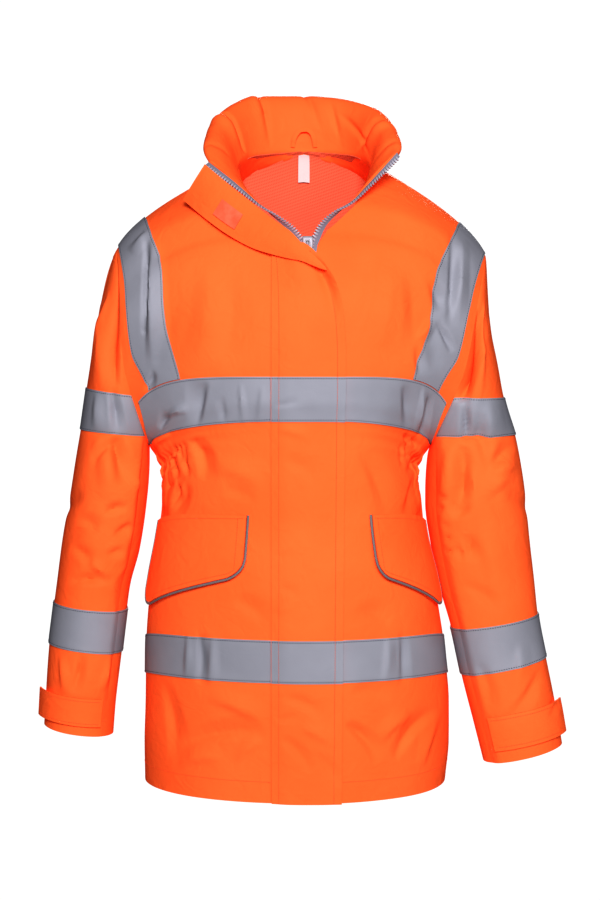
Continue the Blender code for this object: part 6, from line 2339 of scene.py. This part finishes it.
@dataclass(frozen=True)
class Studio:
    """A pale round floor, soft lights in white air, and the camera."""

    floor_z: float = -1.5
    floor_radius: float = 1.2
    air_light: float = 0.03
    focal_pixels: float = 1720.0
    frame_height: float = 900.0
    camera_place: tuple[float, float, float] = (0.008, -2.12, -0.21)
    pitch: float = 3.33
    sensor: float = 36.0
    contrast: float = 0.72
    lights: dict = field(default_factory=lambda: {
        "key_light": ((0.12, -3.0, 0.75), 1.0, 128.0),
        "side_light": ((1.5, -2.4, 0.6), 0.8, 12.0),
        "rear_light": ((0.3, 3.0, 1.1), 1.2, 75.0)})
    lit_point: tuple[float, float, float] = (0.0, 0.0, -0.33)

    def build(self) -> None:
        """Builds the floor, the lights, the world and the camera."""
        self.floor()
        for name, (place, size, power) in self.lights.items():
            self.light(name, place, size, power)
        self.air()
        bpy.context.scene.view_settings.view_transform = "Standard"
        bpy.context.scene.view_settings.gamma = self.contrast
        self.camera()

    def air(self) -> None:
        """The world: white to the camera, and a dimmer even light on the pieces."""
        world = bpy.data.worlds.new("studio_air")
        world.use_nodes = True
        recipe = Recipe(world.node_tree)
        seen = recipe.add("ShaderNodeLightPath").outputs["Is Camera Ray"]
        strength = recipe.add("ShaderNodeMapRange", {"Value": seen, "To Min": self.air_light,
                                                     "To Max": 1.05})
        background = world.node_tree.nodes["Background"]
        recipe.wire((1.0, 1.0, 1.0, 1.0), background.inputs["Color"])
        recipe.wire(strength.outputs[0], background.inputs["Strength"])
        bpy.context.scene.world = world

    def floor(self) -> None:
        """A flat disc far below: a fan of faces round its middle."""
        turn = np.linspace(0, 2 * math.pi, 96, endpoint=False)
        rim = np.stack([np.cos(turn), np.sin(turn)], axis=-1) * self.floor_radius
        points = np.column_stack([np.vstack([[0.0, 0.0], rim]), np.full(97, self.floor_z)])
        faces = [[0, i + 1, (i + 1) % 96 + 1] for i in range(96)]
        paper = Finish("studio_paper", (0.85, 0.85, 0.85), (0.88, 0.88, 0.88), 0.9,
                       weave_depth=0.0, crumple_depth=0.0).build()
        load_mesh("studio_floor", points / MM, faces, paper)

    def light(self, name: str, place: tuple[float, float, float], size: float,
              power: float) -> None:
        """A square soft light that faces the jacket."""
        lamp = bpy.data.lights.new(name, "AREA")
        lamp.size, lamp.energy = size, power
        item = bpy.data.objects.new(name, lamp)
        bpy.context.scene.collection.objects.link(item)
        item.location = place
        away = item.location - Vector(self.lit_point)
        item.rotation_euler = away.to_track_quat("Z", "Y").to_euler()

    def camera(self) -> None:
        """The camera looks a little down, with the focal length set from pixels."""
        data = bpy.data.cameras.new("camera")
        data.sensor_fit = "AUTO"
        data.sensor_width = self.sensor
        data.lens = self.focal_pixels / self.frame_height * self.sensor
        item = bpy.data.objects.new("camera", data)
        bpy.context.scene.collection.objects.link(item)
        item.location = self.camera_place
        item.rotation_euler = (math.radians(90.0 - self.pitch), 0.0, 0.0)
        bpy.context.scene.camera = item


# The orange cloth's glow is painted light: a red emission that keeps its shaded folds red.
ORANGE = Finish("coated_orange_cloth", (1.0, 0.186, 0.048), (1.0, 0.206, 0.056), 0.60,
                specular=0.05, painted_glow=0.15, painted_glow_tone=(1.0, 0.03, 0.0), crumple_size=0.024,
                crumple_depth=0.9)
REFLECTIVE = Finish("retroreflective_tape", (0.31, 0.31, 0.355), (0.35, 0.35, 0.40), 0.58,
                    metallic=0.05, specular=0.15, weave_pitch=0.0008, weave_depth=0.02,
                    crumple_size=0.018, crumple_depth=0.2)
NAP = Finish("loop_nap", (1.0, 0.15, 0.07), (1.0, 0.20, 0.11), 0.9, sheen=0.1,
             weave_pitch=0.0009, weave_depth=0.25, crumple_size=0.003)
ZIP_FABRIC = Finish("zip_tape_weave", (0.23, 0.215, 0.27), (0.27, 0.255, 0.315), 0.8,
                    weave_depth=0.12)
ZIP_PLASTIC = Finish("moulded_teeth", (0.40, 0.37, 0.44), (0.46, 0.43, 0.50), 0.45,
                     weave_depth=0.0, crumple_depth=0.02)
ZIP_METAL = Finish("cast_zip_metal", (0.34, 0.33, 0.38), (0.40, 0.39, 0.44), 0.5,
                   metallic=0.2, specular=0.4, weave_depth=0.0, crumple_size=0.004,
                   crumple_depth=0.03)
PIPING = Finish("woven_piping", (0.225, 0.195, 0.21), (0.255, 0.225, 0.24), 0.75,
                weave_pitch=0.0008, weave_depth=0.15)
MESH = Finish("knitted_mesh", (0.72, 0.165, 0.086), (0.78, 0.180, 0.096), 0.75,
              weave_pitch=0.0015, weave_depth=0.15, hole_pitch=0.0015,
              hole_tone=(0.62, 0.115, 0.050))
LABEL = Finish("label_satin", (0.60, 0.62, 0.63), (0.66, 0.68, 0.69), 0.5,
               weave_pitch=0.0004, weave_depth=0.05, crumple_depth=0.1)
THREADS = {
    ThreadColour.ORANGE: Finish("orange_thread", (1.0, 0.125, 0.03), (1.0, 0.145, 0.04), 0.6),
    ThreadColour.GREY: Finish("grey_thread", (0.040, 0.047, 0.075), (0.060, 0.067, 0.10), 0.7),
    ThreadColour.RED: Finish("red_thread", (0.85, 0.18, 0.13), (0.95, 0.22, 0.16), 0.6),
}


def main() -> None:
    """Builds the studio and every piece of the jacket in order."""
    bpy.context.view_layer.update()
    Studio().build()
    cloth, sewing = ORANGE.build(), Sewing()
    tape = TapeRoll(REFLECTIVE.build(), sewing)
    creases = {(Side.RIGHT, Face.FRONT): RIGHT_FRONT_CREASES,
               (Side.LEFT, Face.FRONT): LEFT_FRONT_CREASES}
    panels = {(side, face): Panel(side, face, creases.get((side, face), BACK_CREASES))
              for side in Side for face in Face}
    Torso(cloth, sewing).build(panels)
    TapeBands(tape).build(panels)
    Sleeves(cloth, tape, sewing).build()
    Pockets(cloth, PIPING.build(), sewing).build(panels)
    StormFlap(cloth, tape, NAP.build(), sewing, panels).build()
    Collar(cloth).build()
    NeckZip(ZIP_FABRIC.build(), ZIP_PLASTIC.build(), ZIP_METAL.build(), panels).build()
    NeckInside(cloth, MESH.build(), LABEL.build(), panels).build()
    sewing.build({colour: finish.build() for colour, finish in THREADS.items()})


if __name__ == "__main__":
    main()
